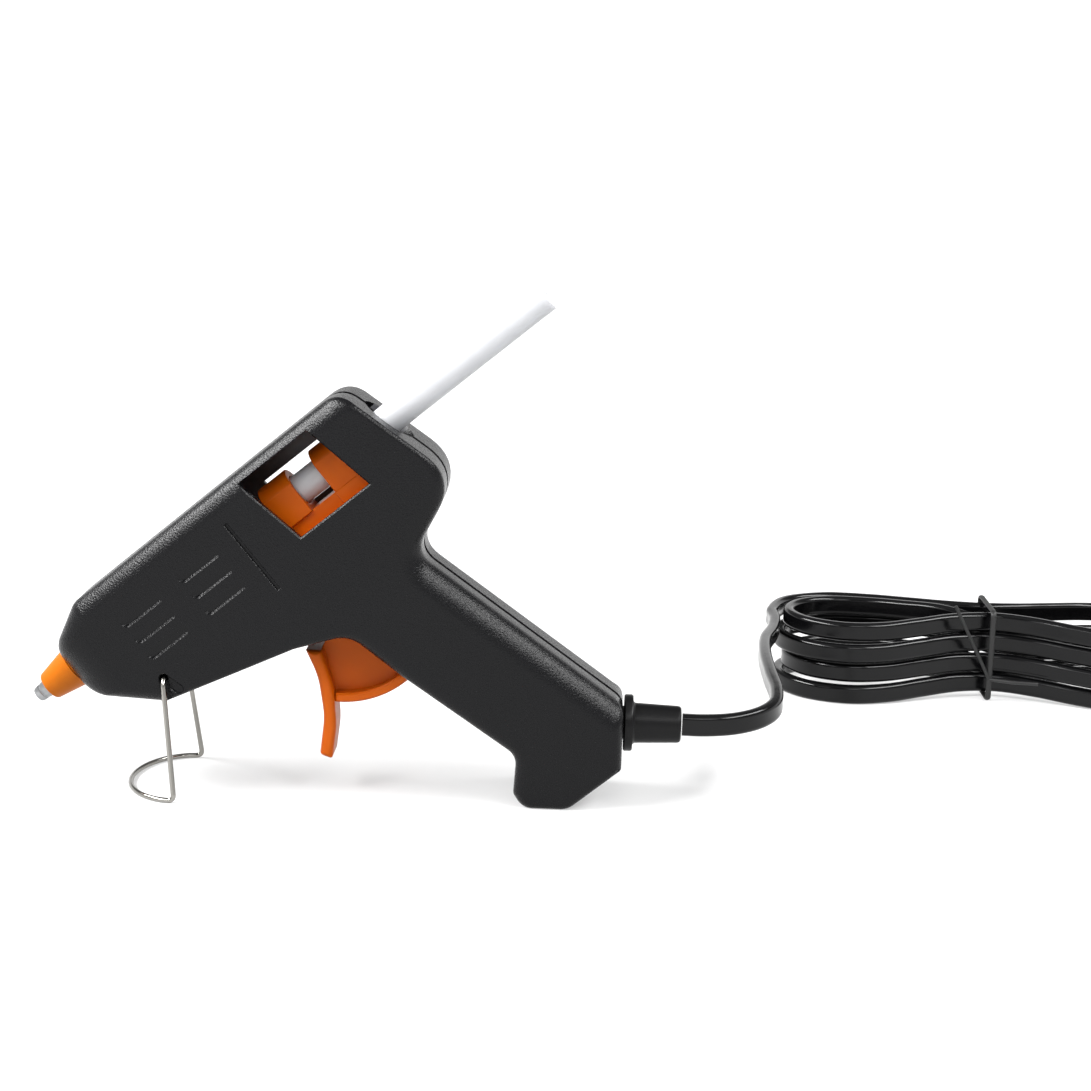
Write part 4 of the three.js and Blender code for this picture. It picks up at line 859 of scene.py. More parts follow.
def vent_tree():
    """Columns and rows of a slot over the side face."""
    tree, given = geometry_tree("vent_rows", [
        ("Slot", "Object"), ("Columns", "Int"), ("Rows", "Int"), ("Column step", "Float"),
        ("Row step", "Float")])
    placed = add_node(tree, "GeometryNodeObjectInfo", (), {"Object": given["Slot"]}).outputs["Geometry"]
    for count, step, axis in (("Rows", "Row step", "Z"), ("Columns", "Column step", "X")):
        offset = add_node(tree, "ShaderNodeCombineXYZ", (), {axis: given[step]})
        line = add_node(tree, "GeometryNodeMeshLine", (),
                        {"Count": given[count], "Offset": offset.outputs["Vector"]}, mode="OFFSET")
        copies = add_node(tree, "GeometryNodeInstanceOnPoints", (),
                          {"Points": line.outputs["Mesh"], "Instance": placed})
        placed = copies.outputs["Instances"]
    return end_tree(tree, placed, given["Material"])


def grow(made, make_tree, **inputs):
    """Runs a geometry tree on an object, with its inputs set by name, and keeps the result."""
    modifier = made.modifiers.new("nodes", "NODES")
    name = make_tree.__name__
    tree = bpy.data.node_groups.get(name) or make_tree()
    tree.name = name
    modifier.node_group = tree
    sockets = {s.name: s.identifier for s in tree.interface.items_tree if s.in_out == "INPUT"}
    for label, value in inputs.items():
        modifier[sockets[label.replace("_", " ")]] = value
    return settled(made)


def point_object(name, points, in_line=False):
    """Bare points, or points joined in a line."""
    edges = [(i, i + 1) for i in range(len(points) - 1)] if in_line else []
    mesh = bpy.data.meshes.new(name)
    mesh.from_pydata([tuple(p) for p in points], edges, [])
    made = bpy.data.objects.new(name, mesh)
    bpy.context.scene.collection.objects.link(made)
    return made


# Housing


def housing_corners():
    """The housing's corners, in millimetres."""
    half_width = housing_sizes()[2]
    return [(Vector(place_of(c[:2])), c[2] * half_width, c[3] * half_width)
            for c in HOUSING_CORNER_SHARES]


def half_body(start, wall, quarter_steps, arc_steps, seam=(0, 0)):
    """The far half of a rounded body, from the parting plane out to the side face."""
    _, _, half_width, full_wall = housing_sizes()
    corners = housing_corners()
    face = half_width - wall

    def left(edge):
        return max(edge - wall, full_wall / 4)

    drawn, run = seam
    rings = [corner_ring(corners, lambda edge: wall + drawn, lambda edge: start, arc_steps)]
    if run:
        rings.append(corner_ring(corners, lambda edge: wall, lambda edge: start + run, arc_steps))
    for k in range(quarter_steps + 1):
        angle = math.pi / 2 * k / quarter_steps
        rings.append(corner_ring(
            corners,
            lambda edge, a=angle: wall + left(edge) * (1 - math.cos(a)),
            lambda edge, a=angle: face - left(edge) * (1 - math.sin(a)),
            arc_steps,
        ))
    return loft(rings)


def entry_place():
    """Bottom of the recess round the stick in the back face."""
    return back_face_at(0) - ENTRY_DEPTH


def floor_level():
    """Height of the floor from the nozzle's tip."""
    return -tip_place().z / MM


def back_face_at(z):
    """Where the back face lies along the barrel, at a height from its axis."""
    low, high = (Vector(corner_place(i)) for i in BACK_CORNERS)
    return low.x + (high.x - low.x) * (z - low.y) / (high.y - low.y)


def inner_ribs():
    """What shows inside through the windows and holes: sleeve rib, feeder rail, collar and bosses."""
    _, _, half_width, wall = housing_sizes()
    rib = place_of((SLEEVE_RIB_SHARE, 0))[0]
    rib_low, rib_high = (place_of((0, share))[1] for share in SLEEVE_RIB_HEIGHTS)
    rail_top = -RING_SKIRT - FEEDER_BAR_HEIGHT - RUNNER_HEIGHT - FIT_GAP
    seam = SEAM_GAP / 2
    rail_end = FEEDER_FRONT + FEEDER_LENGTH + SLIDE_GAP
    return [
        box((rib, seam, rib_low), (rib + SLEEVE_RIB_THICKNESS, half_width, rib_high)),
        box((rib + SLEEVE_RIB_THICKNESS / 2, HUB_HALF_WIDTH + FIT_GAP, rail_top - RAIL_THICKNESS),
            (rail_end, half_width, rail_top)),
        rod(entry_place() - wall, PAST_BACK, ENTRY_RADIUS + wall, 48),
        disc(place_of(PIVOT_SHARES), PIVOT_BOSS_RADIUS, HUB_HALF_WIDTH + 2 * FIT_GAP,
             half_width - PIVOT_BOSS_END),
        *[disc(place_of(s), SCREW_BOSS_RADIUS, seam, half_width - SCREW_BOSS_END) for s in SCREW_SHARES],
    ]


def gland_hole():
    """Hole for the gland, level with the floor, in the barrel's frame."""
    mouth = upright(*corner_place(GLAND_CORNER))[0]
    start, end = (mouth + reach for reach in GLAND_CUT_ENDS)
    points, faces = rod(start, end, GLAND_HOLE_RADIUS, 40, floor_level() + GLAND_HEIGHT)
    placed = [(along_barrel(x, z), y) for x, y, z in points]
    return [(x, y, z) for (x, z), y in placed], faces


def side_cuts():
    """Cutting shapes that both halves share, given for the far half."""
    half_width = housing_sizes()[2]
    past_side = half_width + OVERRUN
    nose = nose_place()
    entry = entry_place()
    hole = COVER_NECK_RADIUS + FIT_GAP
    bore = STICK_RADIUS + FIT_GAP + SLIDE_GAP
    pivot = place_of(PIVOT_SHARES)
    stand = place_of(STAND_SHARES)
    step, step_top = place_of(STEP_SHARES)
    step_low = step_top - STEP_HEIGHT
    groove = WIRE_RADIUS + SLIDE_GAP
    passage = [pivot, *arc(pivot, RIM_RADIUS + SLIDE_GAP, *RIM_PASSAGE, 40)]
    leg_down = math.radians(-90) - BARREL_TILT + GROOVE_LEAN

    def leg_groove(angle, run, depth):
        end = arc(stand, run, angle, angle, 1)[0]
        outline = slot_outline(stand, end, groove)
        return flared(outline, half_width - depth, past_side, half_width, GROOVE_FLARE)

    return [
        turned([(0, 0), (0, hole + NOSE_CUT_SPREAD), (nose, hole + EDGE_FLARE),
                (nose + EDGE_FLARE, hole), (nose + NOSE_CUT_DEPTH, hole), (nose + NOSE_CUT_DEPTH, 0)], 48),
        turned([(entry - ENTRY_CUT_DEPTH, 0), (entry - ENTRY_CUT_DEPTH, bore), (entry, bore),
                (entry, ENTRY_RADIUS), (PAST_BACK, ENTRY_RADIUS), (PAST_BACK, 0)], 48),
        prism(passage, -RIM_HALF_WIDTH - SLIDE_GAP, RIM_HALF_WIDTH + SLIDE_GAP),
        gland_hole(),
        flared([(step, step_low), (step + STEP_WIDTH, step_low), (step + STEP_WIDTH, step_top),
                (step, step_top)], half_width - STEP_DEPTH, past_side, half_width, STEP_FLARE),
        leg_groove(leg_down, GROOVE_RUN, 2 * WIRE_RADIUS + FIT_GAP),
        leg_groove(SWUNG_GROOVE_ANGLE, SWUNG_GROOVE_RUN, WIRE_RADIUS),
        disc(stand, groove, half_width - STAND_PIN_DEPTH - FIT_GAP, past_side, 24),
    ]


def vent_slot():
    """One wedge-shaped slot: deepest at its front end and lower edge, running out at the rear."""
    half_width = housing_sizes()[2]
    front, level = place_of(VENT_SHARES)
    radius = VENT_WIDTH / 2
    outline = slot_outline((front + radius, level), (front + VENT_LENGTH - radius, level), radius, 12)

    def floor_of(x, z):
        lower = (level + radius - z) / VENT_WIDTH
        rear = (x - front) / VENT_LENGTH
        share = VENT_TOP_SHARE + (1 - VENT_TOP_SHARE) * lower
        return half_width - VENT_DEPTH * share * (1 - (1 - VENT_REAR_SHARE) * rear)

    rim = grown(outline, VENT_EDGE)
    rings = [
        [(x, floor_of(x, z), z) for x, z in grown(outline, -VENT_EDGE / 3)],
        [(x, max(floor_of(x, z), half_width - VENT_EDGE), z) for x, z in outline],
        [(x, half_width, z) for x, z in rim],
        [(x, half_width + OVERRUN, z) for x, z in rim],
    ]
    return body_object("vent_slot", loft(rings))


def vent_cutter():
    """Groups of slots, repeated over the side face."""
    slot = vent_slot()
    rows = grow(point_object("vents", [(0, 0, 0)]), vent_tree, Slot=slot, Columns=VENT_COLUMNS,
                Rows=VENT_ROWS, Column_step=VENT_COLUMN_STEP, Row_step=VENT_ROW_STEP,
                Material=surface("grained_black_abs"))
    bpy.data.objects.remove(slot)
    return rows


def housing_shell(seam):
    """The far half before its own window and screw holes."""
    wall = housing_sizes()[3]
    shell = body_object("housing_shell", half_body(SEAM_GAP / 2, 0, 10, 10, seam))
    hollow = body_object("hollow", half_body(-OVERRUN, wall, 4, 5))
    for rib in inner_ribs():
        cut(hollow, rib)
    cut(shell, hollow)
    cut(shell, *side_cuts(), vent_cutter())
    return shell


def mirrored(made):
    """Turns a far half into a near one."""
    made.data.transform(Matrix.Scale(-1, 4, (0, 1, 0)))
    made.data.flip_normals()
    return made


def make_housing():
    """Both halves of the housing, each with its own window."""
    _, _, half_width, wall = housing_sizes()
    far = housing_shell(FAR_SEAM)
    near = mirrored(housing_shell(NEAR_SEAM))
    near.name, far.name = "near_housing_half", "far_housing_half"
    reach = half_width + OVERRUN
    deep = half_width - wall - 2 * OVERRUN
    near_window = window_outline(NEAR_WINDOW_SHARES, NEAR_WINDOW)
    far_window = window_outline(FAR_WINDOW_SHARES, FAR_WINDOW)
    cut(near, flared(near_window, -deep, -reach, -half_width, WINDOW_FLARE))
    profile = [(-OVERRUN, 0), (-OVERRUN, SCREW_HOLE_RADIUS)]
    profile += [(half_width + place, radius) for place, radius in SCREW_RECESS]
    recesses = joined(*[turned(profile, 32, across=place_of(s)) for s in SCREW_SHARES])
    cut(far, flared(far_window, deep, reach, half_width, WINDOW_FLARE), recesses)
    for half, side, node in ((near, -1, "housing_near"), (far, 1, "housing_far")):
        half.data.materials.clear()
        for name in ("grained_black_abs", "core_side_black_abs"):
            half.data.materials.append(surface(name))
        # Faces inside the housing take the mid grey finish: painted light falling in through the windows
        # onto the black plastic
        for face in half.data.polygons:
            inside = side * face.normal.y < -0.7 and abs(face.center.y) > 2 * wall
            face.material_index = 1 if inside else 0
        finished(half, None, "housing", [node])


def make_screws():
    """Five cross-recessed screws in the far half."""
    half_width = housing_sizes()[2]
    seat = half_width - SCREW_SEAT
    profile = [(seat + place, radius) for place, radius in SCREW_PROFILE]
    screw = body_object("screw", turned(profile, 32, across=(0, 0)))
    for wide, high in (SCREW_CROSS, reversed(SCREW_CROSS)):
        cut(screw, box((-wide, seat + SCREW_CROSS_FLOOR, -high), (wide, half_width + OVERRUN, high)))
    points = [(x, 0, z) for x, z in map(place_of, SCREW_SHARES)]
    screws = grow(point_object("housing_screws", points), repeat_tree, Piece=screw, Turn=(0, 0.4, 0),
                  Material=surface("zinc_plated_steel"))
    bpy.data.objects.remove(screw)
    nodes = [f"housing_screw_{i + 1}" for i in range(len(points))]
    finished(screws, None, "housing", nodes)


# Nozzle, stick and feeder


def make_nozzle():
    """Nozzle cover, and the aluminium chamber whose tip it surrounds."""
    nose = nose_place()
    wall = housing_sizes()[3]
    shoulder = nose - FIT_GAP
    flange = nose + wall + FIT_GAP
    inner = COVER_FRONT_RADIUS - COVER_WALL
    cover = [
        (COVER_FRONT + 0.25, inner), (COVER_FRONT, inner + 0.2), (COVER_FRONT, COVER_FRONT_RADIUS - 0.45),
        (COVER_FRONT + 0.12, COVER_FRONT_RADIUS - 0.18), (COVER_FRONT + 0.45, COVER_FRONT_RADIUS + 0.03),
        (shoulder, COVER_REAR_RADIUS), (shoulder, COVER_NECK_RADIUS), (flange, COVER_NECK_RADIUS),
        (flange, CHAMBER_RADIUS), (flange + 1.4, CHAMBER_RADIUS), (flange + 1.4, CHAMBER_RADIUS - FIT_GAP),
        (shoulder + wall, NOZZLE_RADIUS + FIT_GAP),
    ]
    finished(body_object("nozzle_cover_sleeve", turned(cover, 72)), "orange_silicone", "housing",
             ["nozzle_cover"], angle=50)
    bore = STICK_RADIUS + FIT_GAP
    rear = CHAMBER_REAR + SPIGOT_LENGTH
    chamber = [
        (-TIP_REACH + 0.15, TIP_BORE), (-TIP_REACH, TIP_BORE + 0.15), (-TIP_REACH, TIP_RADIUS - 0.5),
        (-TIP_REACH + 0.12, TIP_RADIUS - 0.22), (-TIP_REACH + 0.5, TIP_RADIUS),
        (1.1, TIP_RADIUS + 0.1), (1.25, TIP_RADIUS - 0.02),
        (1.5, TIP_RADIUS - 0.02), (1.65, TIP_RADIUS + 0.14),
        (COVER_FRONT * 2, (TIP_RADIUS + NOZZLE_RADIUS) / 2), (nose + wall, NOZZLE_RADIUS),
        (CHAMBER_FRONT, CHAMBER_RADIUS), (CHAMBER_REAR, CHAMBER_RADIUS), (CHAMBER_REAR, SPIGOT_RADIUS),
        (rear, SPIGOT_RADIUS), (rear, bore), (CHAMBER_FRONT + OVERRUN, bore), (COVER_FRONT, TIP_BORE),
    ]
    front, back = (place_of((share, 0))[0] for share in CHAMBER_BLOCK_SHARES)
    block = box((front + CHAMBER_BLOCK_SETBACK, -HEATER_HALF_WIDTH, -CHAMBER_BLOCK_DEPTH),
                (back - FIT_GAP, HEATER_HALF_WIDTH, -bore - CHAMBER_ROOF))
    finished(body_object("chamber_and_tip", joined(turned(chamber, 64), block)), "turned_aluminium",
             "housing", ["melt_chamber"])


def make_stick():
    """The glue stick, its ends cut and slightly broken."""
    rear = STICK_SEAT + STICK_LENGTH
    profile = [(STICK_SEAT, 0), (STICK_SEAT, STICK_RADIUS - 0.3), (STICK_SEAT + 0.3, STICK_RADIUS)]
    profile += [(STICK_SEAT + STICK_RING_STEP * i, STICK_RADIUS) for i in range(1, 4)]
    profile += [(rear - 0.35, STICK_RADIUS), (rear - 0.1, STICK_RADIUS - 0.12),
                (rear, STICK_RADIUS - 0.4), (rear, 0)]
    finished(body_object("stick_of_glue", turned(profile, 72)), "hot_melt_glue", "stick",
             ["glue_stick"])


def feeder_ring(front, length):
    """One of the two arched rings of the feeder, bored for the stick."""
    shoulder = math.acos(RING_FLAT / RING_RADIUS)
    arch = arc((0, 0), RING_RADIUS, shoulder, math.pi - shoulder, 28)
    outline = [(RING_FLAT, -RING_SKIRT), *arch, (-RING_FLAT, -RING_SKIRT)]
    ring = body_object("ring", loft([[(x, y, z) for y, z in outline] for x in (front, front + length)]))
    cut(ring, rod(front - 1, front + length + 1, STICK_RADIUS + FIT_GAP, 56))
    return softened(ring, RING_EDGE, 3)


def make_feeder():
    """Two rings on a bar, with the runners that slide on the rails and the lug for the drive pin."""
    front, rear = FEEDER_FRONT, FEEDER_FRONT + FEEDER_LENGTH
    bar_low = -RING_SKIRT - FEEDER_BAR_HEIGHT
    bar_high = -RING_SKIRT + FIT_GAP
    runner_low = bar_low - RUNNER_HEIGHT
    pivot = place_of(PIVOT_SHARES)
    pin_x = pivot[0] + DRIVE_ARM * math.tan(PULL / 2)
    lug_low = pivot[1] + DRIVE_ARM - DRIVE_PIN_RADIUS - LUG_WALL
    rear_ring = rear - REAR_RING_LENGTH
    blocks = joined(
        box((front, -FEEDER_BAR_HALF_WIDTH, bar_low), (rear, FEEDER_BAR_HALF_WIDTH, bar_high)),
        box((rear_ring, -RING_FLAT, bar_low), (rear, RING_FLAT, bar_high)),
        box((front, -RUNNER_HALF_WIDTH, runner_low), (rear, RUNNER_HALF_WIDTH, bar_low + FIT_GAP)),
        box((pin_x - LUG_HALF_LENGTH, -LUG_HALF_WIDTH, lug_low),
            (pin_x + LUG_HALF_LENGTH, LUG_HALF_WIDTH, runner_low + 0.2)),
    )
    carriage = softened(body_object("feeder_rings_and_bar", blocks), BAR_EDGE)
    for place, length in ((front, FRONT_RING_LENGTH), (rear_ring, REAR_RING_LENGTH)):
        join(carriage, feeder_ring(place, length))
    finished(carriage, "orange_polypropylene", "feeder", ["feeder_carriage"])


def join(made, other):
    """Takes another object's mesh into this one."""
    work = bmesh.new()
    work.from_mesh(made.data)
    work.from_mesh(other.data)
    work.to_mesh(made.data)
    work.free()
    bpy.data.objects.remove(other)


# Trigger


def finger_bar():
    """The curved bar that the finger pulls, its edges well rounded."""
    pivot = Vector(place_of(PIVOT_SHARES))
    corners = [(pivot + Vector((x, z)) * RIM_RADIUS, r * RIM_RADIUS, FINGER_BAR_ROUND)
               for x, z, r in FINGER_BAR_SHARES]
    return loft(rounded_slab(corners, 0, BAR_HALF_WIDTH, 6, 14))


def trigger_arms():
    """The fork that holds the drive pin."""
    pivot = place_of(PIVOT_SHARES)
    rest = math.pi / 2 - PULL / 2
    slot_half = DRIVE_PIN_RADIUS + FIT_GAP
    foot = DRIVE_ARM - slot_half
    top = DRIVE_ARM / math.cos(PULL / 2) + DRIVE_PIN_RADIUS + FIT_GAP
    half = slot_half + ARM_WALL
    outline = [(0, FIT_GAP - HUB_RADIUS), (foot - slot_half, -half), (top, -half), (top, -slot_half),
               (foot, -slot_half), (foot, slot_half), (top, slot_half), (top, half),
               (foot - slot_half, half), (0, HUB_RADIUS - FIT_GAP)]
    turned_out = [(pivot[0] + o * math.cos(rest) - s * math.sin(rest),
                   pivot[1] + o * math.sin(rest) + s * math.cos(rest)) for o, s in outline]
    return [prism(turned_out, ARM_FROM, ARM_TO), prism(turned_out, -ARM_TO, -ARM_FROM)]


def make_trigger():
    """Finger bar, web and rim on the hub."""
    pivot = place_of(PIVOT_SHARES)
    web_front = [arc(pivot, share * RIM_RADIUS, math.radians(degrees), 0, 1)[0]
                 for share, degrees in WEB_FRONT]
    web = [pivot, *web_front, *arc(pivot, RIM_RADIUS - RIM_THICKNESS / 2, RIM_FROM, RIM_TO, 40)]
    rim = [*arc(pivot, RIM_RADIUS, RIM_FROM, RIM_TO, 40),
           *arc(pivot, RIM_RADIUS - RIM_THICKNESS, RIM_TO, RIM_FROM, 40)]
    parts = joined(
        prism(web, -WEB_THICKNESS / 2, WEB_THICKNESS / 2, WEB_EDGE),
        prism(rim, -RIM_HALF_WIDTH, RIM_HALF_WIDTH, RIM_EDGE),
        finger_bar(),
        *trigger_arms(),
    )
    trigger = body_object("trigger_and_rim", parts)
    hub = body_object("hub", disc(pivot, HUB_RADIUS, -HUB_HALF_WIDTH, HUB_HALF_WIDTH, 48, HUB_EDGE))
    cut(hub, disc(pivot, PIVOT_PIN_RADIUS + FIT_GAP, -HUB_HALF_WIDTH - 1, HUB_HALF_WIDTH + 1, 32))
    join(trigger, hub)
    finished(trigger, "orange_polypropylene", "trigger", ["trigger"], angle=40)


# Stand


def rounded_route(corners, radius, steps):
    """A line whose corners are bent to a radius."""
    points = [corners[0]]
    for i in range(1, len(corners) - 1):
        back = corners[i - 1] - corners[i]
        ahead = corners[i + 1] - corners[i]
        cut_back = min(radius, back.length / 2, ahead.length / 2)
        start = corners[i] + back.normalized() * cut_back
        end = corners[i] + ahead.normalized() * cut_back
        for k in range(steps + 1):
            share = k / steps
            points.append(start.lerp(corners[i], share).lerp(corners[i].lerp(end, share), share))
    points.append(corners[-1])
    return points


def make_stand():
    """The bent wire: two legs and a half round foot."""
    half_width = housing_sizes()[2]
    pivot = upright(*place_of(STAND_SHARES))
    leg_top = half_width + WIRE_RADIUS + SLIDE_GAP
    foot_x = pivot[0] + LEG_LEAN
    foot_z = floor_level() + WIRE_RADIUS
    near_side = [
        Vector((pivot[0], STAND_PIN_DEPTH - FIT_GAP - half_width, pivot[1])),
        Vector((pivot[0], -leg_top, pivot[1])),
        Vector((foot_x, -FOOT_HALF_WIDTH, foot_z)),
    ]
    steps = 40
    foot = []
    for i in range(1, steps):
        angle = math.pi * i / steps - math.pi / 2
        foot.append(Vector((
            foot_x - FOOT_REACH * math.cos(angle), FOOT_HALF_WIDTH * math.sin(angle), foot_z)))
    far_side = [Vector((p.x, -p.y, p.z)) for p in reversed(near_side)]
    near_bend = rounded_route([*near_side, foot[2]], WIRE_BEND, 8)
    far_bend = rounded_route([foot[-3], *far_side], WIRE_BEND, 8)
    route = [*near_bend[:-1], *foot[2:-2], *far_bend[1:]]
    wire = point_object("wire_stand_frame", route, in_line=True)
    grow(wire, wire_tree, Radius=WIRE_RADIUS, Sides=18, Material=surface("nickel_plated_wire"))
    tidy(wire.data)
    finished(wire, None, "stand", ["wire_stand"], upright_frame(), 60)


# Cord, gland, tie and plug


def cord_sizes():
    """Width, thickness, run and fold of the cord, in millimetres."""
    sizes = settings().cord
    return sizes.width / MM, sizes.thickness / MM, sizes.run / MM, sizes.fold / MM


def smooth_step(value, low, high):
    """Rises from 0 to 1 between two values, level at both ends."""
    share = max(0, min(1, (value - low) / (high - low)))
    return share * share * (3 - 2 * share)


def hank_point(turns):
    """Place of the strand after so many turns, counted from the middle of the far run."""
    width, _, run, fold = cord_sizes()
    loops = settings().cord.loops
    run_share = run_in_turns()
    layer = max(0, min(loops - 1, math.floor(turns)))
    within_layer = turns - layer
    offset = STRAND_PITCH * (1 - within_layer if layer % 2 == 0 else within_layer)
    level = width / 2 + (loops - 1) * LAYER_PITCH
    for climb in range(1, loops):
        level -= LAYER_PITCH * smooth_step(turns, climb - run_share / 5, climb + run_share / 5)
    local = turns + run_share / 2
    half_turns = math.floor(local * 2)
    side = 1 if half_turns % 2 == 0 else -1
    within = local - half_turns / 2
    radius = fold + offset
    if within < run_share:
        x = run * (within / run_share - 0.5)
        waist = (1 + math.cos(2 * math.pi * x / run)) / 2
        lift = (TIE_THICKNESS + 2 * FIT_GAP) * waist
        return Vector((side * x, side * (radius - (fold - HANK_WAIST) * waist), level + lift))
    angle = math.pi * (within - run_share) / (0.5 - run_share)
    return Vector((side * (run / 2 + radius * math.sin(angle)), side * radius * math.cos(angle), level))


def run_in_turns():
    """How much of a turn one straight run of the hank takes."""
    _, _, run, fold = cord_sizes()
    return run / (2 * run + 2 * math.pi * fold)


def hank_points(per_loop):
    """Places along the hank, from a quarter turn before its middle."""
    first = -0.25
    last = settings().cord.loops + run_in_turns() / 2
    steps = round((last - first) * per_loop)
    return [hank_point(first + (last - first) * i / steps) for i in range(steps + 1)]


def cord_route(per_loop=24):
    """Corner points of the whole free cord, from the gland's mouth to the plug."""
    width = cord_sizes()[0]
    middle = Vector((*HANK_CENTRE, 0))
    coiled = hank_points(per_loop)
    start = coiled[0] - Vector((0, width, 0))
    out = coiled[-1] + Vector((HANK_TAIL_RUN, 0, 0))
    out.z = PLUG_HALF_HEIGHT
    risen = out - Vector((width, 0, 0))
    before = start - Vector((0, width, 0))
    hank = [middle + p for p in (before, start, *coiled, risen, out)]
    return [Vector(p) for p in LEAD_ROUTE] + hank


def smooth_line(points, spacing):
    """A centripetal curve through points, resampled at an even spacing."""
    dense = [points[0]]
    for i in range(len(points) - 1):
        b, c = points[i], points[i + 1]
        a = points[i - 1] if i else b * 2 - c
        d = points[i + 2] if i + 2 < len(points) else c * 2 - b
        knots = [0]
        for p, q in ((a, b), (b, c), (c, d)):
            knots.append(knots[-1] + max((q - p).length, 1e-6) ** 0.5)
        for k in range(1, 17):
            t = knots[1] + (knots[2] - knots[1]) * k / 16

            def mix(p, q, low, high):
                return p * ((high - t) / (high - low)) + q * ((t - low) / (high - low))

            ab, bc, cd = (mix(p, q, knots[j], knots[j + 1])
                          for j, (p, q) in enumerate(((a, b), (b, c), (c, d))))
            first = mix(ab, bc, knots[0], knots[2])
            second = mix(bc, cd, knots[1], knots[3])
            dense.append(mix(first, second, knots[1], knots[2]))
    lengths = [0]
    for p, q in zip(dense, dense[1:]):
        lengths.append(lengths[-1] + (q - p).length)
    count = round(lengths[-1] / spacing)
    line, j = [], 0
    for i in range(count + 1):
        want = lengths[-1] * i / count
        while j < len(dense) - 2 and lengths[j + 1] < want:
            j += 1
        share = (want - lengths[j]) / max(lengths[j + 1] - lengths[j], 1e-9)
        line.append(dense[j].lerp(dense[j + 1], share))
    return line, lengths[-1]


def flat_section(extra=0, steps=6):
    """Section of the flat twin sheath: wide side up, with a faint waist between its two cores."""
    width, thickness, _, _ = cord_sizes()
    half_wide = width / 2 + extra
    half_thick = thickness / 2 + extra
    radius = half_thick * CORE_ROUND
    right = arc((half_thick - radius, half_wide - radius), radius, 0, math.pi / 2, steps)
    half = [*reversed(right), (half_thick * CORE_WAIST, 0), *[(x, -z) for x, z in right]]
    return half + [(-x, z) for x, z in reversed(half)]


def sweep(line, section, closed=False):
    """A tube along a line. The section is given as sideways and up."""
    rings = []
    count = len(line)
    for i, point in enumerate(line):
        before = line[i - 1] if i or closed else point
        after = line[(i + 1) % count] if i + 1 < count or closed else point
        heading = (after - before).normalized()
        up = (Vector((0, 0, 1)) - heading * heading.z).normalized()
        side = heading.cross(up)
        rings.append([point + side * x + up * z for x, z in section])
    return loft(rings, closed)


def make_cord():
    """The free cord in one length, with its gland, tie and plug."""
    line, length = smooth_line(cord_route(), CORD_SPACING)
    place = cord_frame()
    cord = body_object("mains_cord", sweep(line, flat_section()))
    finished(cord, "glossy_black_pvc", "housing", ["cord_lead", "cord_hank"], place)
    gland, tie, plug, pins = make_gland(), make_tie(), make_plug(), make_pins()
    path = [place @ p for p in line]
    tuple(path[0])
    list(pins)


def make_gland():
    """Strain relief: a flange against the grip and a tapered sleeve round the cord."""
    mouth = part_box("cord_gland")[1].x / MM
    face = mouth - GLAND_REACH - FIT_GAP
    profile = [(face + place, radius) for place, radius in GLAND_PROFILE]
    gland = body_object("cord_strain_relief", turned(profile, 56, height=GLAND_HEIGHT))
    slot = [[(x, y, z + GLAND_HEIGHT) for y, z in flat_section(FIT_GAP)] for x in (face - 6, mouth + 2)]
    cut(gland, loft(slot))
    return finished(gland, "moulded_black_pvc", "housing", ["cord_gland"], Matrix.Scale(MM, 4))


def tie_band(reach, low, high):
    """The flat wire round the hank's waist, a closed loop with rounded corners."""
    half = TIE_THICKNESS / 2
    across, down, up = reach - TIE_CORNER, low + TIE_CORNER, high - TIE_CORNER
    corners = ((across, up), (-across, up), (-across, down), (across, down))
    quarter = math.pi / 2
    loop = [
        Vector((0, y, z))
        for i, centre in enumerate(corners)
        for y, z in arc(centre, TIE_CORNER + half, i * quarter, (i + 1) * quarter, 8)
    ]
    rings = []
    for i, point in enumerate(loop):
        heading = (loop[(i + 1) % len(loop)] - loop[i - 1]).normalized()
        out = heading.cross(Vector((1, 0, 0)))
        rings.append([
            point + Vector((TIE_HALF_BREADTH * math.cos(a), 0, 0)) + out * half * 0.95 * math.sin(a)
            for a in full_turn(14)
        ])
    return loft(rings, closed=True)


def make_tie():
    """Plastic-coated wire round the hank's waist, its two ends twisted and left standing."""
    width, thickness, run, _ = cord_sizes()
    waist = [p for p in hank_points(96) if abs(p.x) < 2 * TIE_WIDTH]
    reach = max(abs(p.y) for p in waist) + thickness / 2 + 3 * FIT_GAP
    high = max(p.z for p in waist) + width / 2 + 3 * FIT_GAP
    band = body_object("hank_tie", tie_band(reach, TIE_THICKNESS, high))
    knot = Vector((0, -reach - TIE_THICKNESS / 2, high / 4))
    tails = [
        Vector((-run / 7, -reach - 3 * TIE_THICKNESS, high + TIE_WIDTH)),
        Vector((run / 6, -reach - 4 * TIE_THICKNESS, high / 4)),
    ]
    for end in tails:
        bow = knot.lerp(end, 0.5) + Vector((0, -TAIL_BOW, 0))
        line, _ = smooth_line([knot, knot.lerp(bow, 0.5), bow, bow.lerp(end, 0.5), end], 1)
        tail = grow(point_object("tail", line, in_line=True), wire_tree, Radius=TAIL_RADIUS, Sides=10,
                    Material=surface("coated_tie_wire"))
        join(band, tail)
    tidy(band.data)
    hank_frame = cord_frame() @ Matrix.Translation((*HANK_CENTRE, 0))
    return finished(band, "coated_tie_wire", "housing", ["cord_tie"], hank_frame, 60)


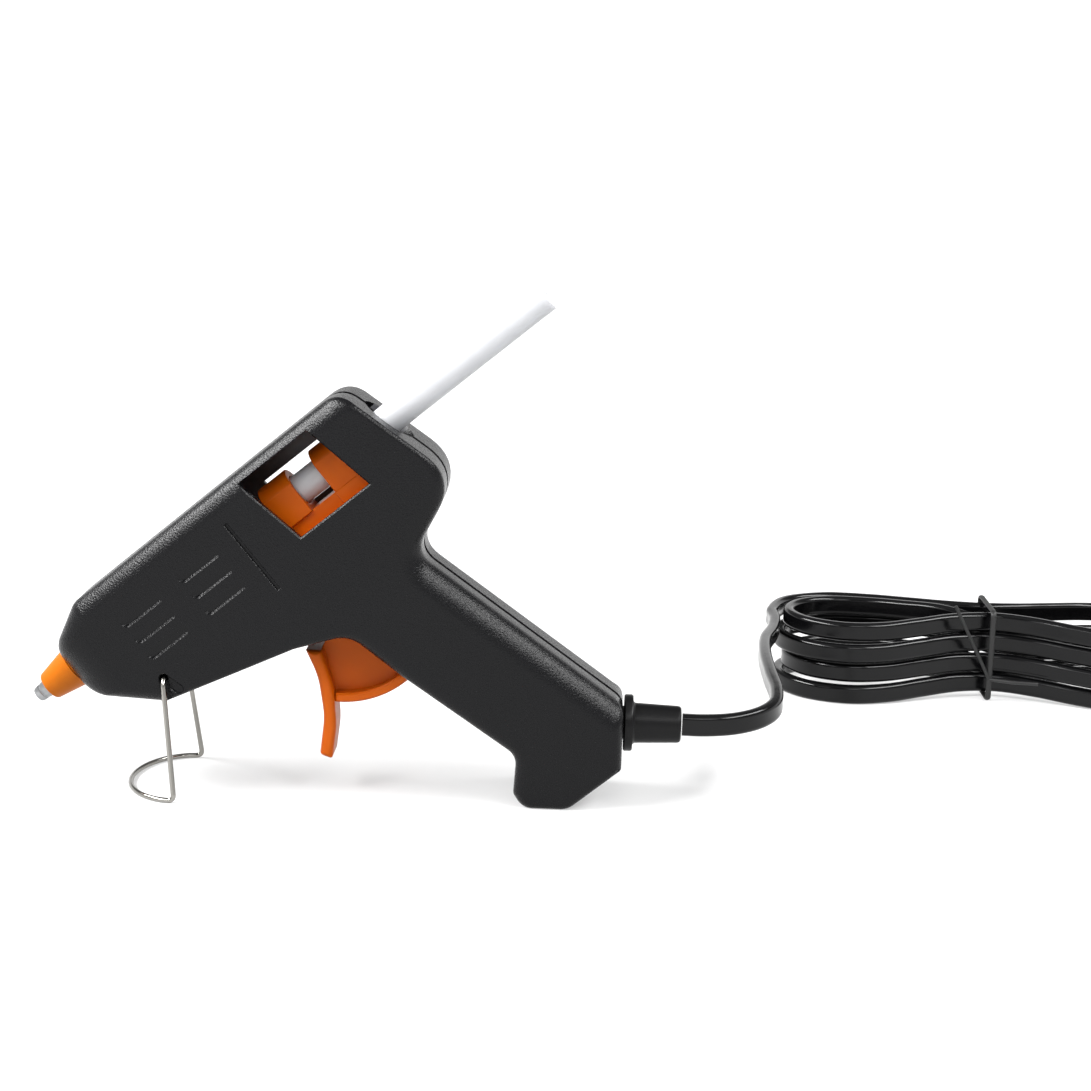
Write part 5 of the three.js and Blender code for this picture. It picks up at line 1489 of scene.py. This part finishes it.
def make_plug():
    """Flat two-pin plug body with grip ridges."""
    half = [(Vector((x * PLUG_LENGTH, y * PLUG_HALF_WIDTH)), r) for x, y, r in PLUG_SIDE]
    outline = [(Vector((p.x, -p.y)), r) for p, r in half] + list(reversed(half))
    corners = [(p, r, PLUG_EDGE) for p, r in outline]
    rings = [[(x, z, y) for x, y, z in ring]
             for ring in rounded_slab(corners, PLUG_HALF_HEIGHT, PLUG_HALF_HEIGHT, 5, 6)]
    plug = softened(body_object("mains_plug", loft(rings)), 0.05, 1, 70)
    ridge = body_object("ridge", box([-size for size in RIDGE_HALF_SIZE], RIDGE_HALF_SIZE))
    softened(ridge, 0.3, 3)
    levels = (0.2, 2 * PLUG_HALF_HEIGHT - 0.2)
    points = [(RIDGE_START + RIDGE_PITCH * i, 0, level) for i in range(RIDGE_COUNT) for level in levels]
    ridges = grow(point_object("ridges", points), repeat_tree, Piece=ridge, Turn=(0, 0, 0),
                  Material=surface("moulded_black_pvc"))
    bpy.data.objects.remove(ridge)
    join(plug, ridges)
    return finished(plug, "moulded_black_pvc", "housing", ["plug_body"], plug_frame())


def plug_frame():
    """On the floor under the middle of the plug's cord end."""
    low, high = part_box("plug_body")
    return Matrix.Translation((low.x, (low.y + high.y) / 2, 0)) @ Matrix.Scale(MM, 4)


def make_pins():
    """Round pins with an insulating sleeve on the half next to the plug."""
    start = PLUG_LENGTH + FIT_GAP
    end = start + PLUG_PIN_LENGTH
    sleeve = start + PIN_SLEEVE_LENGTH
    r = PLUG_PIN_RADIUS
    profile = [(start, 0), (start, r - 0.15), (sleeve, r - 0.15), (sleeve + 0.2, r), (end - 1.4, r),
               (end - 0.6, r - 0.5), (end - 0.12, r - 1.2), (end, 0)]
    pins = []
    for i, side in enumerate((-1, 1)):
        pin = body_object(f"plug_pin_{'near' if side < 0 else 'far'}", turned(profile, 40))
        pin.data.transform(Matrix.Translation((0, side * PLUG_PIN_SPACING / 2, PLUG_HALF_HEIGHT)))
        pin.data.materials.append(surface("plated_brass"))
        pin.data.materials.append(surface("moulded_black_pvc"))
        for face in pin.data.polygons:
            face.material_index = 1 if face.center.x < sleeve + 0.1 else 0
        pins.append(finished(pin, None, "housing", [f"plug_pin_{i + 1}"], plug_frame()))
    return pins


# Inner parts that keep their solids


def dress_inner_parts():
    """Gives each solid that stays its own surface."""
    finishes = {
        "heater_ceramic": ["ptc_heater"],
        "mica_sheet": ["heater_insulation"],
        "spring_steel": ["heater_clip", "sleeve_ring", "stick_gripper", "return_spring"],
        "red_silicone_sleeve": ["stick_sleeve"],
        "red_lead_silicone": ["lead_live"],
        "blue_lead_silicone": ["lead_neutral"],
        "zinc_plated_steel": ["drive_pin", "trigger_pin", "clamp_screw_1", "clamp_screw_2"],
        "grained_black_abs": ["cord_clamp"],
        "glossy_black_pvc": ["cord_tail"],
    }
    for finish, names in finishes.items():
        for name in names:
            materials = frame["nodes"][name].data.materials
            materials.clear()
            materials.append(surface(finish))


# Stage


def pale_floor():
    """Matt white paper. The camera and mirrors see it lit to white, less the object's shadow, and
    evenly white far off, where the lamps don't reach."""
    made, tree = surface_tree("white_paper")
    where = add_node(tree, "ShaderNodeTexCoord").outputs["Object"]
    low, high = ((tone, tone, tone) for tone in PAPER_TONES)
    tint = colour_between(tree, low, high, noise(tree, where, 3, 3))
    paper = add_node(tree, "ShaderNodeBsdfDiffuse", (), {"Color": tint})
    far = add_node(tree, "ShaderNodeVectorMath", (), {"Vector": where}, operation="LENGTH")
    level = add_node(tree, "ShaderNodeMapRange", {
        "From Min": GLOW_NEAR[0], "From Max": GLOW_FAR[0], "To Min": GLOW_NEAR[1], "To Max": GLOW_FAR[1],
    }, {"Value": far.outputs["Value"]})
    glow = add_node(tree, "ShaderNodeEmission", (), {"Strength": level.outputs["Result"]})
    seen = add_node(tree, "ShaderNodeLightPath").outputs
    white = seen["Is Camera Ray"]
    for ray in ("Is Glossy Ray", "Is Transmission Ray"):
        either = add_node(tree, "ShaderNodeMath", (), {0: white, 1: seen[ray]}, operation="MAXIMUM")
        white = either.outputs[0]
    lit = add_node(tree, "ShaderNodeAddShader", (), {0: paper.outputs[0], 1: glow.outputs[0]})
    either = add_node(tree, "ShaderNodeMixShader", (),
                      {0: white, 1: paper.outputs[0], 2: lit.outputs[0]})
    add_node(tree, "ShaderNodeOutputMaterial", (), {"Surface": either.outputs[0]})
    return made


def make_world():
    """A plain, soft grey room light."""
    world = bpy.context.scene.world or bpy.data.worlds.new("studio")
    bpy.context.scene.world = world
    world.use_nodes = True
    tree = world.node_tree
    tree.nodes.clear()
    light = add_node(tree, "ShaderNodeBackground", {"Color": (1, 1, 1, 1), "Strength": ROOM_LIGHT})
    add_node(tree, "ShaderNodeOutputWorld", (), {"Surface": light.outputs["Background"]})


def add_lamp(name, power, size, place, aim):
    """A softbox turned to what it lights."""
    lamp = bpy.data.lights.new(name, "AREA")
    lamp.energy = power
    lamp.shape = "RECTANGLE"
    lamp.size, lamp.size_y = size
    made = bpy.data.objects.new(name, lamp)
    made.location = place
    made.rotation_euler = (Vector(aim) - Vector(place)).to_track_quat("-Z", "Y").to_euler()
    bpy.context.scene.collection.objects.link(made)


def make_camera():
    """The camera, where the photograph was taken from."""
    camera = bpy.data.cameras.new("picture")
    camera.sensor_width = SENSOR_MM
    camera.lens = FOCAL_PX / PICTURE_WIDTH_PX * SENSOR_MM
    camera.clip_start = 0.01
    camera.clip_end = 50
    made = bpy.data.objects.new("picture", camera)
    right, up = Vector(CAMERA_RIGHT), Vector(CAMERA_UP)
    turn = Matrix((right, up, right.cross(up))).transposed().to_4x4()
    made.matrix_world = Matrix.Translation(CAMERA_PLACE) @ turn
    bpy.context.scene.collection.objects.link(made)
    bpy.context.scene.camera = made


def make_stage():
    """Floor, lamps, world and camera."""
    for name in ("Cube", "Light", "Camera"):
        if name in bpy.data.objects:
            bpy.data.objects.remove(bpy.data.objects[name])
    stage = settings().stage
    cove = stage.floor_size - COVE_RADIUS
    levels = [(0.001, 0), (cove, 0), *arc((cove, COVE_RADIUS), COVE_RADIUS, -math.pi / 2, 0, 10),
              (stage.floor_size, stage.wall_height)]
    points, faces = loft([
        [(radius * math.cos(a), radius * math.sin(a), level) for a in full_turn(96)]
        for radius, level in levels
    ])
    floor = body_object("paper_floor", (points, faces[:-1]))
    floor.data.materials.append(pale_floor())
    make_world()
    for name, power, size, place in (
        ("overhead", stage.overhead, (1.0, 0.7), (0.02, -0.1, 0.9)),
        ("edge_left", 2 * stage.edge, (1.1, 0.24), (-0.8, -0.18, 0.8)),
        ("edge_right", stage.edge, (1.1, 0.24), (0.74, -0.18, 0.85)),
        ("key", stage.key, (0.4, 0.4), (-0.6, -0.8, 0.6)),
        ("fill", stage.fill, (0.4, 0.3), (0.25, -0.8, 0.72)),
    ):
        add_lamp(name, power, size, place, LAMP_AIM)
    make_camera()
    bpy.context.scene.view_settings.view_transform = "Standard"


# Add-on


class GlueApplicatorSettings(bpy.types.PropertyGroup):
    """All sizes and colours that a user may change."""
    housing: bpy.props.PointerProperty(
        type=HousingSizes, name="Housing", description="Sizes of the housing")
    cord: bpy.props.PointerProperty(type=CordSizes, name="Cord", description="Sizes of the cord")
    colours: bpy.props.PointerProperty(
        type=FinishColours, name="Colours", description="Colours of the mouldings")
    stage: bpy.props.PointerProperty(type=StageSettings, name="Stage", description="Floor and lamps")


class GLUE_OT_stage(bpy.types.Operator):
    """Set up the floor, lamps, world and camera"""
    bl_idname = "glue.stage"
    bl_label = "Stage"

    def execute(self, context):
        make_stage()
        return {"FINISHED"}


class GLUE_OT_cord(bpy.types.Operator):
    """Lay out the cord, its gland, tie and plug"""
    bl_idname = "glue.cord"
    bl_label = "Cord and plug"

    def execute(self, context):
        make_cord()
        return {"FINISHED"}


class GLUE_OT_housing(bpy.types.Operator):
    """Mould both halves of the housing"""
    bl_idname = "glue.housing"
    bl_label = "Housing"

    def execute(self, context):
        make_housing()
        return {"FINISHED"}


class GLUE_OT_screws(bpy.types.Operator):
    """Set the housing screws"""
    bl_idname = "glue.screws"
    bl_label = "Screws"

    def execute(self, context):
        make_screws()
        return {"FINISHED"}


class GLUE_OT_nozzle(bpy.types.Operator):
    """Turn the nozzle cover and the chamber"""
    bl_idname = "glue.nozzle"
    bl_label = "Nozzle"

    def execute(self, context):
        make_nozzle()
        return {"FINISHED"}


class GLUE_OT_stick(bpy.types.Operator):
    """Cast the glue stick"""
    bl_idname = "glue.stick"
    bl_label = "Glue stick"

    def execute(self, context):
        make_stick()
        return {"FINISHED"}


class GLUE_OT_feeder(bpy.types.Operator):
    """Mould the feeder carriage"""
    bl_idname = "glue.feeder"
    bl_label = "Feeder"

    def execute(self, context):
        make_feeder()
        return {"FINISHED"}


class GLUE_OT_trigger(bpy.types.Operator):
    """Mould the trigger"""
    bl_idname = "glue.trigger"
    bl_label = "Trigger"

    def execute(self, context):
        make_trigger()
        return {"FINISHED"}


class GLUE_OT_stand(bpy.types.Operator):
    """Bend the wire stand"""
    bl_idname = "glue.stand"
    bl_label = "Wire stand"

    def execute(self, context):
        make_stand()
        return {"FINISHED"}


class GLUE_OT_inner_parts(bpy.types.Operator):
    """Finish the inner parts"""
    bl_idname = "glue.inner_parts"
    bl_label = "Inner parts"

    def execute(self, context):
        dress_inner_parts()
        return {"FINISHED"}


OPERATORS = (
    GLUE_OT_stage, GLUE_OT_cord, GLUE_OT_housing, GLUE_OT_screws, GLUE_OT_nozzle, GLUE_OT_stick,
    GLUE_OT_feeder, GLUE_OT_trigger, GLUE_OT_stand, GLUE_OT_inner_parts,
)


class GLUE_PT_panel(bpy.types.Panel):
    """Pieces of the applicator"""
    bl_label = SIDEBAR
    bl_space_type = "VIEW_3D"
    bl_region_type = "UI"
    bl_category = SIDEBAR

    def draw(self, context):
        for group in ("housing", "cord", "colours", "stage"):
            values = getattr(context.scene.glue_applicator, group)
            for name in values.__annotations__:
                self.layout.prop(values, name)
        for operator in OPERATORS:
            self.layout.operator(operator.bl_idname)


CLASSES = (
    HousingSizes, CordSizes, FinishColours, StageSettings, GlueApplicatorSettings, *OPERATORS,
    GLUE_PT_panel,
)


def register():
    """Makes the classes known to Blender."""
    for cls in CLASSES:
        bpy.utils.register_class(cls)
    bpy.types.Scene.glue_applicator = bpy.props.PointerProperty(
        type=GlueApplicatorSettings, name="Glue applicator",
        description="Sizes and colours of the applicator")


def unregister():
    """Takes the classes out again."""
    del bpy.types.Scene.glue_applicator
    for cls in reversed(CLASSES):
        bpy.utils.unregister_class(cls)


def main():
    """Builds the whole applicator."""
    register()
    bpy.ops.glue.stage()
    bpy.ops.glue.cord()
    bpy.ops.glue.housing()
    bpy.ops.glue.screws()
    bpy.ops.glue.nozzle()
    bpy.ops.glue.stick()
    bpy.ops.glue.feeder()
    bpy.ops.glue.trigger()
    bpy.ops.glue.stand()
    bpy.ops.glue.inner_parts()


if __name__ == "__main__":
    main()
